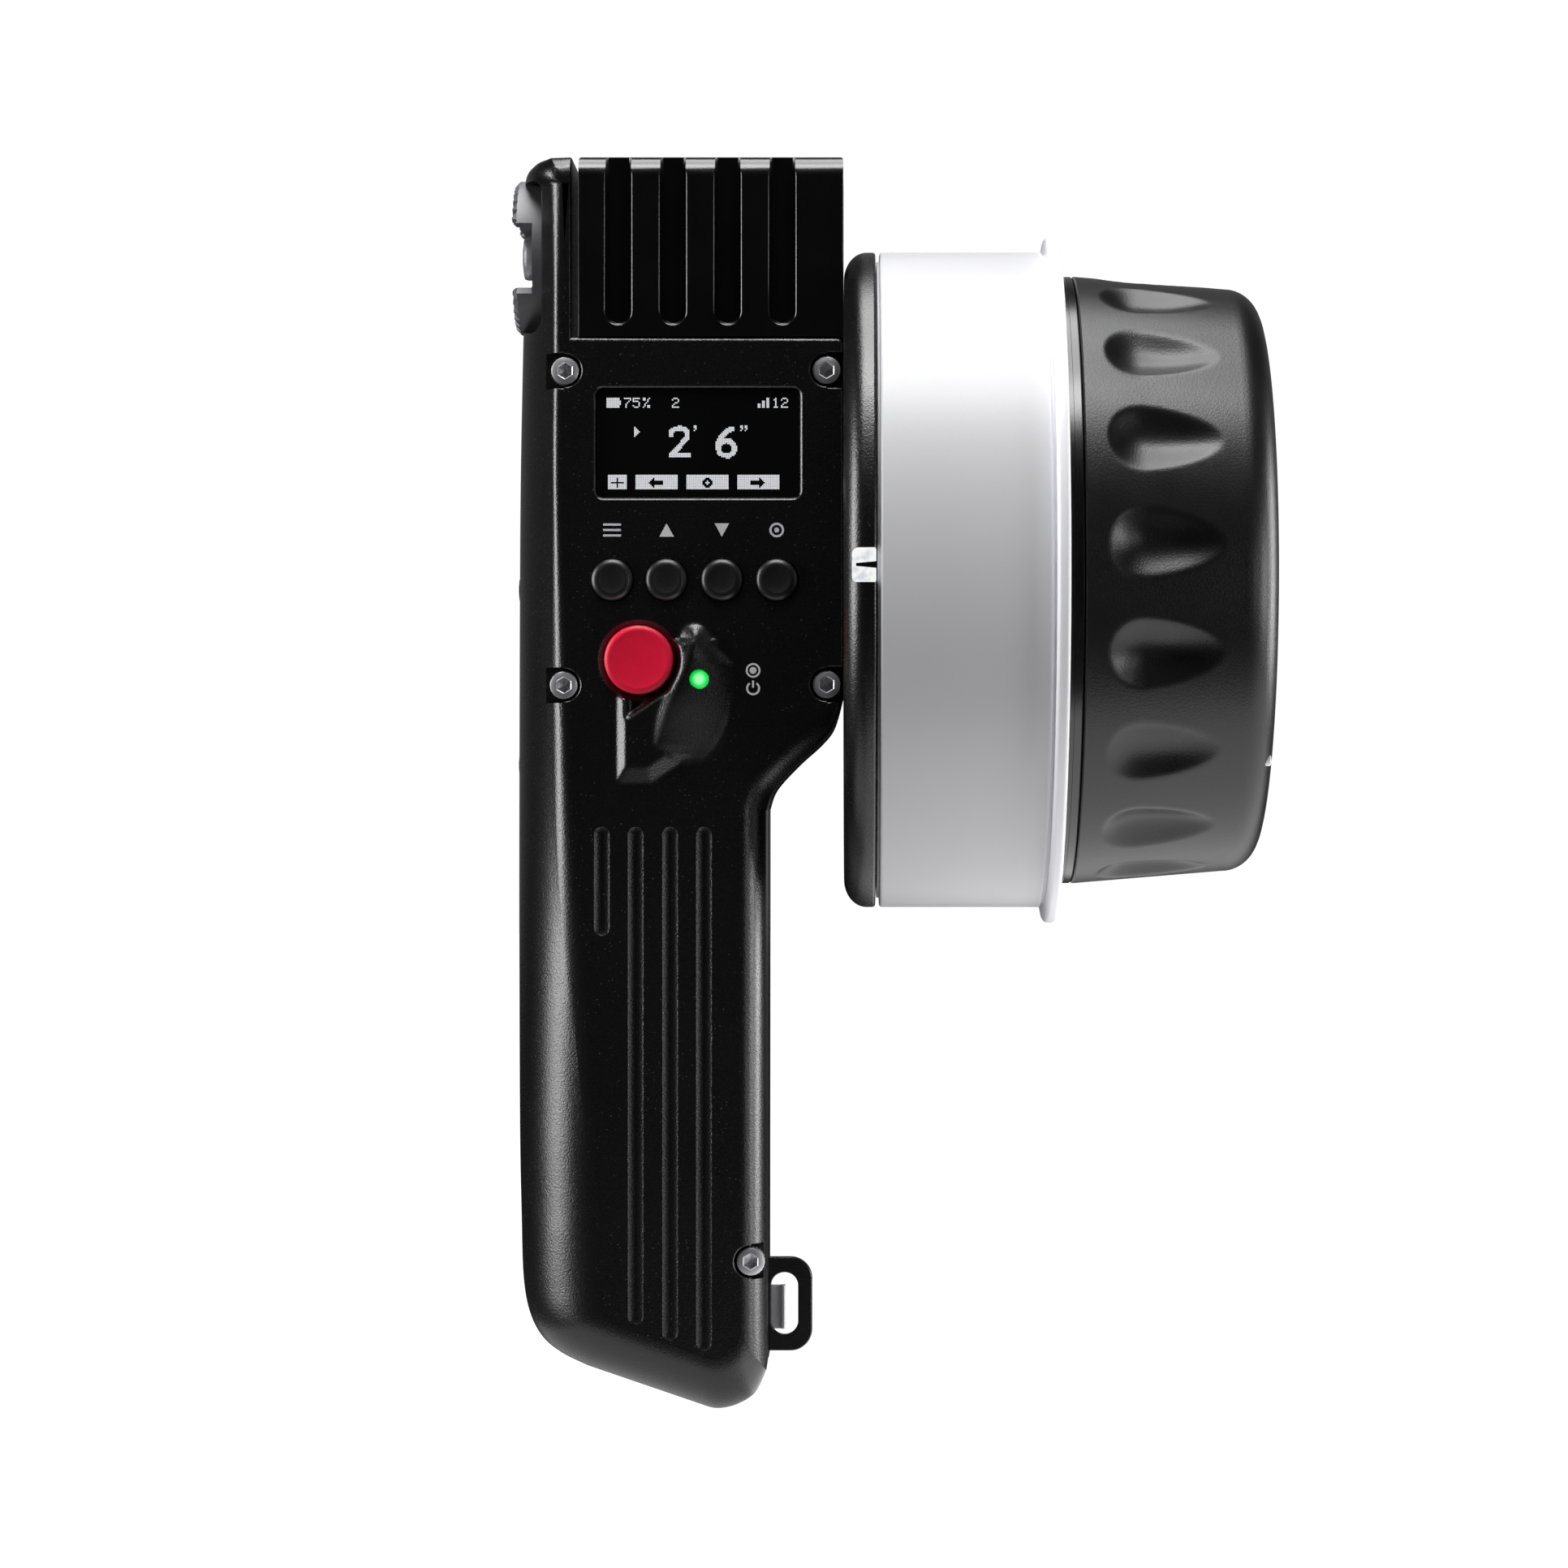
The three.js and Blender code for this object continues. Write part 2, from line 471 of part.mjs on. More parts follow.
// Pockets and holes that both shells may share
function housingCuts() {
  const rosettePocket = rodX(-FAR, ROSETTE.back + 0.1, ROSETTE.radius + CLEAR, 32, 0, ROSETTE.z);
  const rosetteHole = rodX(-FAR, ROSETTE_SCREW.tip + 0.2, ROSETTE_SCREW.shank + CLEAR, 16, 0, ROSETTE.z);
  const screwHoles = SHELL_SCREWS.flatMap(({ x, z, side, tip }) => {
    const left = side > 0 ? x : x - POCKET.reach;
    const half = POCKET.height / 2;
    return [
      rodY(-FAR, SCREW.seat, POCKET.radius, 16, x, z),
      box(left, left + POCKET.reach, FRONT - 1, SCREW.seat, z - half, z + half),
      rodY(SCREW.seat - 1, tip + 0.4, SCREW.shank + CLEAR, SMALL, x, z),
    ];
  });
  const baseHoles = BASE_SCREWS.map(([y, dz]) =>
    rodX(BASE_PAD.drilled, HEAD_RIGHT + 1, BASE_HOLE, SMALL, y, KNOB_Z + dz));
  const sideHoles = SIDE_SCREWS.flatMap((z) => [
    rodX(-FAR, SIDE_SCREW.seat + 0.1, SIDE_SCREW.head + CLEAR, 16, 0, z),
    rodX(SIDE_SCREW.seat - 0.4, SIDE_SCREW.tip + 0.3, SIDE_SCREW.shank + CLEAR, SMALL, 0, z),
  ]);
  const half = LOOP.thick / 2 + CLEAR;
  const [inside, outside] = [LOOP_FOOT.x0 - 1.1, GRIP_RIGHT + 2];
  const loopSlot = box(inside, outside, -half, half, LOOP.z0 - CLEAR, LOOP_FOOT.z1 + CLEAR);
  const clipSlot = box(inside, outside, CLIP.y0 - CLEAR, CLIP.y0 + CLIP.thick + CLEAR, CLIP.z0 - CLEAR,
    CLIP.z1 + CLEAR);
  return [rosettePocket, rosetteHole, ...screwHoles, ...baseHoles, ...sideHoles, loopSlot, clipSlot,
    sealBand(SEAL.spare)];
}

// The seal lies in a groove along the seam, from the left of the head round the grip to the neck
function sealBand(spare) {
  const sides = hollowOutline.map(({ side }) => side).filter((point) => point.y < SEAL.top);
  const outside = movedIn(sides, SEAL.outside - spare).slice(1, -1);
  const inside = movedIn(sides, SEAL.inside + spare).slice(1, -1);
  const shape = new THREE.Shape([...outside, ...inside.reverse()]);
  return plate(shape, SEAM - SEAL.half - spare, SEAM + SEAL.half + spare);
}

// Raised leaf beside the record button: highest along its left edge and sloping down to the right
function leaf() {
  const above = box(-FAR, FAR, -FAR, 0, -FAR, FAR)
    .rotate([0, 0, LEAF_TILT])
    .rotate([0, LEAF_LEAN, 0])
    .translate([LEAF_RIDGE_X, FRONT - LEAF_RIDGE, LIGHT.z]);
  return cut(plate(polygon(LEAF), FRONT - LEAF_RIDGE - 1, FRONT + SCOOP_NECK.depth + 0.1), above);
}

function frontShell(whole) {
  const half = whole.intersect(box(-FAR, FAR, -FAR, SEAM - SEAM_GAP / 2, -FAR, FAR));
  const { x0, x1, z0, z1, corner, sunk, thick } = DISPLAY;
  const opening = WINDOW_OPENING;
  const cuts = [
    plate(roundedRect(x0, x1, z0, z1, corner), FRONT - 1, FRONT + sunk + thick + 0.1),
    box(opening.x0, opening.x1, FRONT, INSIDE_FRONT + 1, opening.z0, opening.z1),
    ...Object.values(BUTTON_X).map((x) =>
      rodY(FRONT - 1, INSIDE_FRONT + 1, BUTTON.hole, BUTTON.segments, x, BUTTON_Z)),
    rodY(FRONT - 1, INSIDE_FRONT + 1, RECORD.hole, RECORD.segments, RECORD_X, RECORD_Z),
    rodY(FRONT - 4, FRONT + RECORD_RING.depth, RECORD_RING.radius, RECORD.segments, RECORD_X, RECORD_Z),
    plate(polygon(SCOOP), FRONT - 1, FRONT + SCOOP_DEPTH).intersect(box(-FAR, FAR, -FAR, FAR, -FAR, SCOOP_TOP)),
    plate(polygon(SCOOP_NECK.outline), FRONT - 1, FRONT + SCOOP_NECK.depth),
    ...GRIP_GROOVES.map(([x, bottom]) => {
      const { width, depth, top } = GRIP_GROOVE;
      const slot = roundedRect(x - width / 2, x + width / 2, bottom, top, width / 2 - 0.01);
      return plate(slot, FRONT - 1, FRONT + depth, 2);
    }),
  ];
  const lightHole = rodY(FRONT - 4, INSIDE_FRONT + 1, LIGHT.hole, 16, LIGHT.x, LIGHT.z);
  const recordRoom = rodY(FRONT - 4, INSIDE_FRONT, RECORD.hole + 0.4, RECORD.segments, RECORD_X, RECORD_Z);
  return cut(union(cut(half, ...cuts), cut(leaf(), recordRoom)), lightHole);
}

function rearShell(whole) {
  return whole.intersect(box(-FAR, FAR, SEAM + SEAM_GAP / 2, FAR, -FAR, FAR));
}

// Socket-cap screw whose axis is along Y, head to the front
function capScrewY({ x, z, tip }) {
  const { head, headTop, seat, socket, socketDepth, shank } = SCREW;
  const body = turnedY([[headTop, 0], [headTop, head - 0.3], [headTop + 0.3, head], [seat - 0.02, head],
    [seat - 0.02, shank], [tip, shank], [tip, 0]], SMALL, x, z);
  return cut(body, rodY(headTop - 1, headTop + socketDepth, socket, 6, x, z));
}

// The same along X; side is the way that its head points
function capScrewX({ side, headTop, seat, head, socket, shank, tip }, y, z) {
  const body = turnedX([[headTop, 0], [headTop, head - 0.4], [headTop - 0.4 * side, head], [seat, head],
    [seat, shank], [tip, shank], [tip, 0]], SMALL, y, z);
  const depth = headTop - 1.2 * side;
  return cut(body, rodX(Math.min(depth, headTop + side), Math.max(depth, headTop + side), socket, 6, y, z));
}

function roundButton({ radius, crown, proud, flange, segments }, x, z) {
  const top = FRONT - proud;
  return turnedY([[top, 0], [top, crown], [top + 0.25, crown + 0.6], [top + 1, radius], [FLANGE_FRONT, radius],
    [FLANGE_FRONT, flange], [FLANGE_BACK, flange], [FLANGE_BACK, 0]], segments, x, z);
}

function tactileSwitch(x, z) {
  const { half, base, plunger, tip } = SWITCH;
  return union(
    box(x - half, x + half, base, BOARD.y0 - 0.05, z - half, z + half),
    rodY(tip, base + 0.1, plunger, SMALL, x, z),
  );
}

function batteryLid() {
  const { x0, x1, z0, z1, crown, edge } = LID;
  const crowned = new THREE.Shape();
  crowned.moveTo(FRONT, z0).lineTo(BACK, z0).lineTo(BACK, z1 - crown);
  crowned.absarc(BACK - crown, z1 - crown, crown, 0, Math.PI / 2);
  crowned.lineTo(FRONT + crown, z1).absarc(FRONT + crown, z1 - crown, crown, Math.PI / 2, Math.PI);
  const frontView = new THREE.Shape();
  frontView.moveTo(x0, z0).lineTo(x1, z0).lineTo(x1, z1 - edge);
  frontView.absarc(x1 - edge, z1 - edge, edge, 0, Math.PI / 2).lineTo(x0 + edge, z1);
  frontView.absarc(x0 + edge, z1 - edge, edge, Math.PI / 2, Math.PI);
  const body = bar(crowned, x0, x1, 3)
    .intersect(plate(frontView, FRONT - 1, BACK + 1, 2))
    .intersect(slab(roundedRect(x0, x1, FRONT, BACK, edge), z0 - 1, z1 + 1, 2));
  const grooves = [];
  for (let i = 0; i < RIB.count; i++) {
    const left = RIB.first + i * RIB.pitch;
    const slot = roundedRect(left, left + RIB.groove, RIB.floor - RIB.groove / 2, z1 + 5, RIB.groove / 2 - 0.01);
    grooves.push(plate(slot, FRONT - 1, FRONT + RIB.depth), plate(slot, BACK - RIB.depth, BACK + 1));
  }
  const { y, z1: roof } = LID_HOLLOW;
  return cut(body, ...grooves, box(LID_HOLLOW.x0, LID_HOLLOW.x1, -y, y, z0 - 1, roof));
}

function battery() {
  const { x0, width, y0, thick, z0, height } = BATTERY;
  return bar(roundedRect(y0, y0 + thick, z0, z0 + height, 1.5), x0, x0 + width, 3);
}

// Tub that carries the battery: front wall, left wall and floor, with bosses for the two upper screws
function batteryTray() {
  const { wall, base, floor, back, top, boss, bossFront } = TRAY;
  const left = BAY.x0 - wall;
  const right = BAY.x1 - 0.2;
  const front = BAY.y0 - wall;
  const body = union(
    box(left, right, front, BAY.y0 - 0.1, floor - base, top),
    box(left, BAY.x0 - 0.1, front, back, floor - base, top),
    box(left, right, front, back, floor - base, floor),
    ...UPPER_SCREWS.map(({ x, z }) =>
      rodY(bossFront, front + 0.2, boss, SMALL, x, z).intersect(box(left, right, -FAR, FAR, 0, top))),
  );
  return cut(body, ...UPPER_SCREWS.map(({ x, z, tip }) => rodY(-FAR, tip + 0.4, SCREW.shank + CLEAR, SMALL, x, z)));
}

function knobBase() {
  const { x0, x1, radius } = BASE;
  const disc = turnedX([[x0, 0], [x0, radius - 4.4], [x0 + 0.5, radius - 2.4], [x0 + 1.5, radius - 0.9],
    [x0 + 3, radius], [x1 - 0.5, radius], [x1, radius - 0.5], [x1, 0]], ROUND);
  const half = INDEX.height / 2;
  const notch = box(INDEX.x0, x1 + 1, -radius - 1, INDEX.back, KNOB_Z - half, KNOB_Z + half);
  const lightRoom = box(INDEX.x0 - 0.2, x1 + 1, INDEX.back - 0.2, INDEX.back + INDEX_ROOM.depth,
    KNOB_Z - INDEX_ROOM.half, KNOB_Z + INDEX_ROOM.half);
  const holes = BASE_SCREWS.map(([y, dz]) => rodX(x0 - 1, x1 + 1, BASE_HOLE, SMALL, y, KNOB_Z + dz));
  return cut(disc, notch, lightRoom, ...holes);
}

function indexWindow() {
  const low = KNOB_Z - INDEX.height / 2 + 0.05;
  const high = KNOB_Z + INDEX.height / 2 - 0.05;
  const face = roundedRect(INDEX.x0 + 0.05, INDEX.x1 + 2, low, high, INDEX.corner);
  const lens = plate(face, -FAR, INDEX.back - 0.05, 3)
    .intersect(rodX(INDEX.x0, INDEX.x1 - 0.05, BASE.radius - 0.05, ROUND, 0, KNOB_Z));
  const line = box(INDEX.lineStart, FAR, -BASE.radius - 1, -BASE.radius + 0.6,
    KNOB_Z - INDEX.line / 2, KNOB_Z + INDEX.line / 2);
  return cut(lens, line);
}

function spindle() {
  const { radius, shoulder, flange, flangeEnd, end } = SPINDLE;
  const start = BASE.x1 + 0.05;
  const stop = BEARING.first - 0.2;
  const body = turnedX([[start, 0], [start, flange], [flangeEnd, flange], [flangeEnd, shoulder], [stop, shoulder],
    [stop, radius], [end, radius], [end, 0]], 32);
  return cut(body, ...BASE_SCREWS.map(([y, dz]) =>
    rodX(start - 1, flangeEnd + 1, BASE_HOLE, SMALL, y, KNOB_Z + dz)));
}

function bearing(x) {
  const { inner, outer, width } = BEARING;
  return turnedX([[x, inner], [x, outer - 0.3], [x + 0.3, outer], [x + width, outer], [x + width, inner]], 32);
}

const washer = ({ x0, x1, inner, outer }) =>
  turnedX([[x0, inner], [x0, outer], [x1, outer], [x1, inner]], 32);

// Nut on the spindle's end, bored clear of the thread
function spindleNut() {
  const { x0, x1, radius } = NUT;
  return cut(rodX(x0, x1, radius, 6, 0, KNOB_Z), rodX(x0 - 1, x1 + 1, SPINDLE.radius + 0.1, 24, 0, KNOB_Z));
}

function encoderBoard() {
  const { x1, half, z0, z1 } = ENCODER_SENSOR;
  return union(washer(ENCODER_BOARD), box(ENCODER_BOARD.x1 - 0.1, x1, -half, half, z0, z1));
}

function knobCore() {
  const { x0, radius, lipStart, lip, x1, inner } = DRUM;
  const { end, neck, wall } = CORE;
  const { x, section, bed } = RING_SEAL;
  const [sealStart, sealEnd] = [x - section - CLEAR, x + section + CLEAR];
  return turnedX([
    [x0, inner], [x0, radius], [sealStart, radius], [sealStart, bed], [sealEnd, bed], [sealEnd, radius],
    [lipStart, radius], [lipStart, lip], [x1, lip], [x1, neck], [end, neck],
    [end, HUB.nutBore], [HUB.stop, HUB.nutBore], [HUB.stop, HUB.bore], [HUB.x0, HUB.bore], [HUB.x0, HUB.radius],
    [end - wall, HUB.radius], [end - wall, neck - wall], [x1 + 0.5, neck - wall], [x1 - 2, inner],
  ], ROUND);
}

// How deep the teardrop dimples cut at a place: x along the knob, s sideways from the dimple's middle
function dimpleDepth(x, s) {
  const { x0, widest, x1, half, depth } = DIMPLE;
  if (x <= x0 || x >= x1) return 0;
  const toEnd = x < widest ? (widest - x) / (widest - x0) : (x - widest) / (x1 - widest);
  const width = x < widest ? half * Math.sqrt(1 - toEnd ** 2) : half * (1 - toEnd) ** 0.8;
  const side = Math.abs(s) / width;
  return side >= 1 ? 0 : depth * (1 - toEnd ** 2) * (1 - side ** 2);
}

// The same columns in every dimple: its middle, its flanks and the land between two dimples
function sleeveAngles() {
  const offsets = [-10, -5.4, -2.2, 2.2, 5.4];
  const angles = [];
  for (let i = 0; i < DIMPLE.count; i++) {
    offsets.forEach((offset) => angles.push(DIMPLE.first + (360 / DIMPLE.count) * i + offset));
  }
  return angles.map((angle) => angle * THREE.MathUtils.DEG2RAD);
}

function gripSleeve() {
  const { x0, x1, start, shoulder, shoulderX, corner, inner } = SLEEVE;
  const { radius: rim, foot } = SLEEVE_RIM;
  const pitch = (2 * Math.PI) / DIMPLE.count;
  const first = DIMPLE.first * THREE.MathUtils.DEG2RAD;
  const skin = [x0, 72.1, 73.6, 75.6, 78.4, 82, 86, DIMPLE.x1];
  const profileAt = (angle) => {
    const turn = (angle - first) / pitch;
    const s = (turn - Math.round(turn)) * pitch * shoulder;
    const outside = skin.map((x) => {
      const t = (x - x0) / (shoulderX - x0);
      return [x, THREE.MathUtils.lerp(start, shoulder, t) - dimpleDepth(x, s)];
    });
    const roundEnd = [0, 35, 65, 90].map((degrees) => {
      const a = degrees * THREE.MathUtils.DEG2RAD;
      return [x1 - corner + corner * Math.sin(a), shoulder - corner + corner * Math.cos(a)];
    });
    return [...outside, ...roundEnd, [x1, rim], [foot, rim], [foot, inner], [x0, inner]];
  };
  const sleeve = spun(sleeveAngles(), profileAt, KNOB_Z);
  return cut(sleeve, rodX(MARKER.foot - 0.1, FAR, MARKER.radius + 0.1, 10, MARKER.y, MARKER.z));
}

function markingRing() {
  const { x0, step, x1, groove, x2, bore, radius, flange } = RING;
  return turnedX([[x0, bore], [x0, radius - 1.5], [step, radius - 1.5], [step + 0.1, radius], [x1, radius],
    [x1, radius - 0.6], [groove, radius - 0.6], [groove, flange], [x2, flange], [x2, bore]], ROUND);
}

function ringSeal() {
  const { x, centre, section } = RING_SEAL;
  const profile = [];
  for (let i = 0; i < 6; i++) {
    const a = (i / 6) * 2 * Math.PI;
    profile.push([x + section * Math.sin(a), centre + section * Math.cos(a)]);
  }
  return turnedX(profile, ROUND);
}

// Toothed disc with a slot across it for an anti-twist key
function rosette() {
  const { z, radius, face, back } = ROSETTE;
  const { count, rim, foot, depth } = TEETH;
  const angles = Array.from({ length: 2 * count }, (_, i) => (i * Math.PI) / count);
  const floor = face + depth;
  const profileAt = (angle) => {
    const peak = Math.round((angle * count) / Math.PI) % 2 === 0;
    const top = peak ? face : floor;
    return [[back, 0], [back, radius], [floor + 0.1, radius], [floor, rim], [top, rim - 0.5],
      [top, foot], [floor, foot - 0.4], [floor, 0]];
  };
  const slot = box(face - 1, ROSETTE_SLOT.floor, -radius - 1, radius + 1, ROSETTE_SLOT.z0, ROSETTE_SLOT.z1);
  const hole = rodX(face - 1, back + 1, ROSETTE_SCREW.shank + CLEAR, 16, 0, z);
  return cut(spun(angles, profileAt, z), slot, hole);
}

// Sheet loop with a flat foot behind the housing's wall
function lanyardLoop() {
  const { x1, z0, z1, thick, corner } = LOOP;
  const half = thick / 2;
  const x0 = GRIP_RIGHT + 0.1;
  const outer = new THREE.Shape();
  outer.moveTo(x0, z0).lineTo(x1 - corner, z0).absarc(x1 - corner, z0 + corner, corner, -Math.PI / 2, 0);
  outer.lineTo(x1, z1 - corner).absarc(x1 - corner, z1 - corner, corner, 0, Math.PI / 2).lineTo(x0, z1);
  const tongue = box(LOOP_FOOT.x1 - 0.2, x0 + 0.1, -half, half, z0, LOOP_FOOT.z1);
  const foot = box(LOOP_FOOT.x0, LOOP_FOOT.x1, -LOOP_FOOT.half, LOOP_FOOT.half, z0, LOOP_FOOT.z1);
  const slotRadius = (LOOP_SLOT.x1 - LOOP_SLOT.x0) / 2 - 0.01;
  const slot = roundedRect(LOOP_SLOT.x0, LOOP_SLOT.x1, LOOP_SLOT.z0, LOOP_SLOT.z1, slotRadius);
  return cut(union(plate(outer, -half, half, 5), tongue, foot), plate(slot, -half - 1, half + 1, 6));
}

function strapClip() {
  const { x1, z0, z1, y0, thick, footX0, footX1, footY1 } = CLIP;
  return union(
    box(footX0, x1 - 0.6, y0, y0 + thick, z0, z1),
    box(x1 - 0.8, x1, y0 - 0.4, y0 + thick + 0.4, z0, z1),
    box(footX0, footX1, y0, footY1, z0, z1),
  );
}

function handset() {
  const group = new THREE.Group();
  const whole = housing();
  const { x0, x1, z0, z1, corner, sunk, thick } = DISPLAY;
  group.add(
    piece("front_shell", frontShell(whole), painted),
    piece("rear_shell", rearShell(whole), painted),
    piece("shell_seal", sealBand(0), rubber),
    piece("display_window", plate(roundedRect(x0 + 0.1, x1 - 0.1, z0 + 0.1, z1 - 0.1, corner - 0.1),
      FRONT + sunk, FRONT + sunk + thick), glass),
    piece("display_module", block(MODULE), blackPlastic),
    piece("main_board", block(BOARD), boardGreen),
    piece("radio_board", block(RADIO), boardGreen),
    piece("radio_shield", block(SHIELD), steel),
    piece("antenna", block(ANTENNA), blackPlastic),
    piece("battery_tray", batteryTray(), blackPlastic),
    piece("battery_contacts", block(CONTACTS), blackPlastic),
    piece("battery_pack", battery(), blackPlastic),
    piece("status_light_pipe", turnedY([[LIGHT.tip, 0], [LIGHT.tip + 0.1, 0.8], [LIGHT.tip + 0.5, LIGHT.radius],
      [LIGHT.foot, LIGHT.radius], [LIGHT.foot, 0]], 16, LIGHT.x, LIGHT.z), lit),
  );
  Object.entries(BUTTON_X).forEach(([name, x]) => {
    group.add(piece(name + "_switch", tactileSwitch(x, BUTTON_Z), blackPlastic));
  });
  group.add(piece("record_switch", tactileSwitch(RECORD_X, RECORD_Z), blackPlastic));
  SHELL_SCREWS.forEach((screw, i) => group.add(piece("shell_screw_" + (i + 1), capScrewY(screw), steel)));
  SIDE_SCREWS.forEach((z, i) => {
    group.add(piece("side_screw_" + (i + 1), capScrewX(SIDE_SCREW, 0, z), blackSteel));
  });
  return group;
}

function fittings() {
  const group = new THREE.Group();
  group.add(
    piece("rosette", rosette(), satinMetal),
    piece("rosette_screw", capScrewX(ROSETTE_SCREW, 0, ROSETTE.z), steel),
    piece("lanyard_loop", lanyardLoop(), blackSteel),
    piece("strap_clip", strapClip(), steel),
  );
  return group;
}

function fixedKnobParts() {
  const group = new THREE.Group();
  group.add(
    piece("knob_base", knobBase(), painted),
    piece("index_window", indexWindow(), clear),
    piece("index_light_board", block(INDEX_LIGHT), boardGreen),
    piece("spindle", spindle(), steel),
    piece("spindle_nut", spindleNut(), steel),
    piece("encoder_board", encoderBoard(), boardGreen),
  );
  BASE_SCREWS.forEach(([y, dz], i) => {
    group.add(piece("base_screw_" + (i + 1), capScrewX(BASE_SCREW, y, KNOB_Z + dz), steel));
  });
  return group;
}

function turningKnobParts() {
  const group = new THREE.Group();
  const { x0, x1, radius, chamfer } = END_COVER;
  const { inner, outer, depth } = END_DISH;
  const cover = turnedX([[x0, 0], [x0, radius], [x1 - chamfer, radius], [x1, radius - chamfer], [x1, outer],
    [x1 - depth, outer - depth], [x1 - depth, inner + depth], [x1, inner], [x1, 0]], ROUND);
  group.add(
    piece("knob_core", knobCore(), blackPlastic),
    piece("grip_sleeve", gripSleeve(), rubber),
    piece("knob_end_cover", cover, blackPlastic),
    piece("marker_pin", rodX(MARKER.foot, MARKER.tip, MARKER.radius, 10, MARKER.y, MARKER.z), acetal),
    piece("inner_bearing", bearing(BEARING.first), steel),
    piece("outer_bearing", bearing(BEARING.second), steel),
    piece("encoder_disc", washer(ENCODER_DISC), satinMetal),
    piece("ring_seal", ringSeal(), rubber),
  );
  return group;
}

const controller = new THREE.Group();
controller.add(handset(), fittings(), fixedKnobParts(), turningKnobParts());
controller.add(piece("battery_lid", batteryLid(), blackPlastic));
controller.add(piece("marking_ring", markingRing(), acetal));
Object.entries(BUTTON_X).forEach(([name, x]) => {
  controller.add(piece(name + "_button", roundButton(BUTTON, x, BUTTON_Z), blackPlastic));
});
controller.add(piece("record_button", roundButton(RECORD, RECORD_X, RECORD_Z), red));

export default controller;
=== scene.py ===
import json
import math

import bmesh
import bpy
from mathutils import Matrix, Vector


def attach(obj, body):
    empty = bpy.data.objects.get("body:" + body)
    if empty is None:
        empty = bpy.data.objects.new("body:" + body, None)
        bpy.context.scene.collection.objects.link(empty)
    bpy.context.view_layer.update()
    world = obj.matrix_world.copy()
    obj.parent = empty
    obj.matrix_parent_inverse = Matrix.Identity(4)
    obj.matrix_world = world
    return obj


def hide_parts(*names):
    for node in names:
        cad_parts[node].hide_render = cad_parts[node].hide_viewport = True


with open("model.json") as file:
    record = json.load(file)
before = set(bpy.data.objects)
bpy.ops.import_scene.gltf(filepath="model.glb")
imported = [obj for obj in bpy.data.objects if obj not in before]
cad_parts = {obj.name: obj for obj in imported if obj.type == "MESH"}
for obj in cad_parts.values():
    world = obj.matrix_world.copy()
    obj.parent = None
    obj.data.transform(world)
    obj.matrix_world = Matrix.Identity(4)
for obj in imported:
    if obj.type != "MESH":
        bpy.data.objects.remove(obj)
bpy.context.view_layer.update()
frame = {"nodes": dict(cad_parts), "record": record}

MM = 0.001

# Handset: two shells that meet at the seam
FRONT = -19.0
BACK = 19.0
SEAM = 3.0
SEAM_GAP = 0.14
REAR_PROUD = 0.12
WALL = 2.4
FACE_WALL = 2.0
INSIDE_FRONT = FRONT + FACE_WALL
HEAD_TOP = 120.2
CAVITY_TOP = 117.4
HEAD_RIGHT = 32.2
GRIP_RIGHT = 20.1
COLUMN_TOP = 148.85
COLUMN_RIGHT = -10.4
FAR = 300.0

# The handset's outline, counter-clockwise from the top left as the display is seen. Each stretch pairs the
# silhouette at mid depth with the edge of the flat face; bend is the depth over which the side curves
# between them, and crest is 1 where it meets the face at an edge and 0 where it is a quarter ellipse.
LEFT_SIDE = {
    "steps": 40,
    "side": [(-18.8, 143.5), (-19.0, 130), (-19.35, 115), (-19.7, 92.5), (-19.85, 50), (-19.85, 20),
             (-19.7, -6), (-19.4, -20)],
    "face": [(-12.9, 144.2), (-12.9, 130), (-12.9, 115), (-12.9, 92.5), (-11.8, 50), (-9.4, 20), (-6.9, -6),
             (-5.8, -20)],
    "bend": [17, 17],
    "crest": [0.8, 1, 1, 1, 0.75, 0.35, 0.1, 0],
}
LOWER_LEFT = {
    "steps": 30,
    "side": [(-19.4, -20), (-19.05, -28.5), (-18, -34), (-15.9, -37.9), (-12.7, -40.4), (-8.6, -42.3)],
    "face": [(-5.8, -20), (-5.3, -27), (-5.5, -31), (-5.7, -32.8), (-4.9, -34), (-3.4, -34.7)],
    "bend": [17, 12],
    "crest": [0, 0],
}
BOTTOM = {
    "steps": 8,
    "side": [(-8.6, -42.3), (9.8, -48.6)],
    "face": [(-3.4, -34.7), (9.8, -39.4)],
    "bend": [12, 12],
    "crest": [0, 0],
}
LOWER_RIGHT = {
    "steps": 24,
    "side": [(9.8, -48.6), (12.2, -49), (15.3, -48.2), (18.3, -46.1), (GRIP_RIGHT, -42.3)],
    "face": [(9.8, -39.4), (11.6, -39.9), (13.6, -39.6), (15.4, -38.2), (16.1, -36)],
    "bend": [12, 6],
    "crest": [0, 0],
}
GRIP_SIDE = {
    "steps": 10,
    "side": [(GRIP_RIGHT, -42.3), (GRIP_RIGHT, 46)],
    "face": [(16.1, -36), (16.1, 46.6)],
    "bend": [6, 5],
    "crest": [0, 0],
}
NECK = {
    "steps": 36,
    "side": [(GRIP_RIGHT, 46), (21.3, 49.2), (24.9, 53.2), (28.8, 56.8), (30.8, 59.6), (HEAD_RIGHT, 64.5)],
    "face": [(16.1, 46.6), (17.6, 51), (21.9, 55.4), (26.4, 59.2), (29.4, 62.4), (31.7, 66.8)],
    "bend": [5, 0.5],
    "crest": [0, 0],
}
HEAD_SIDE = {
    "steps": 6,
    "side": [(HEAD_RIGHT, 64.5), (HEAD_RIGHT, HEAD_TOP - 1)],
    "face": [(31.7, 66.8), (31.7, HEAD_TOP - 1.2)],
    "bend": [0.5, 0.5],
    "crest": [0, 0],
}
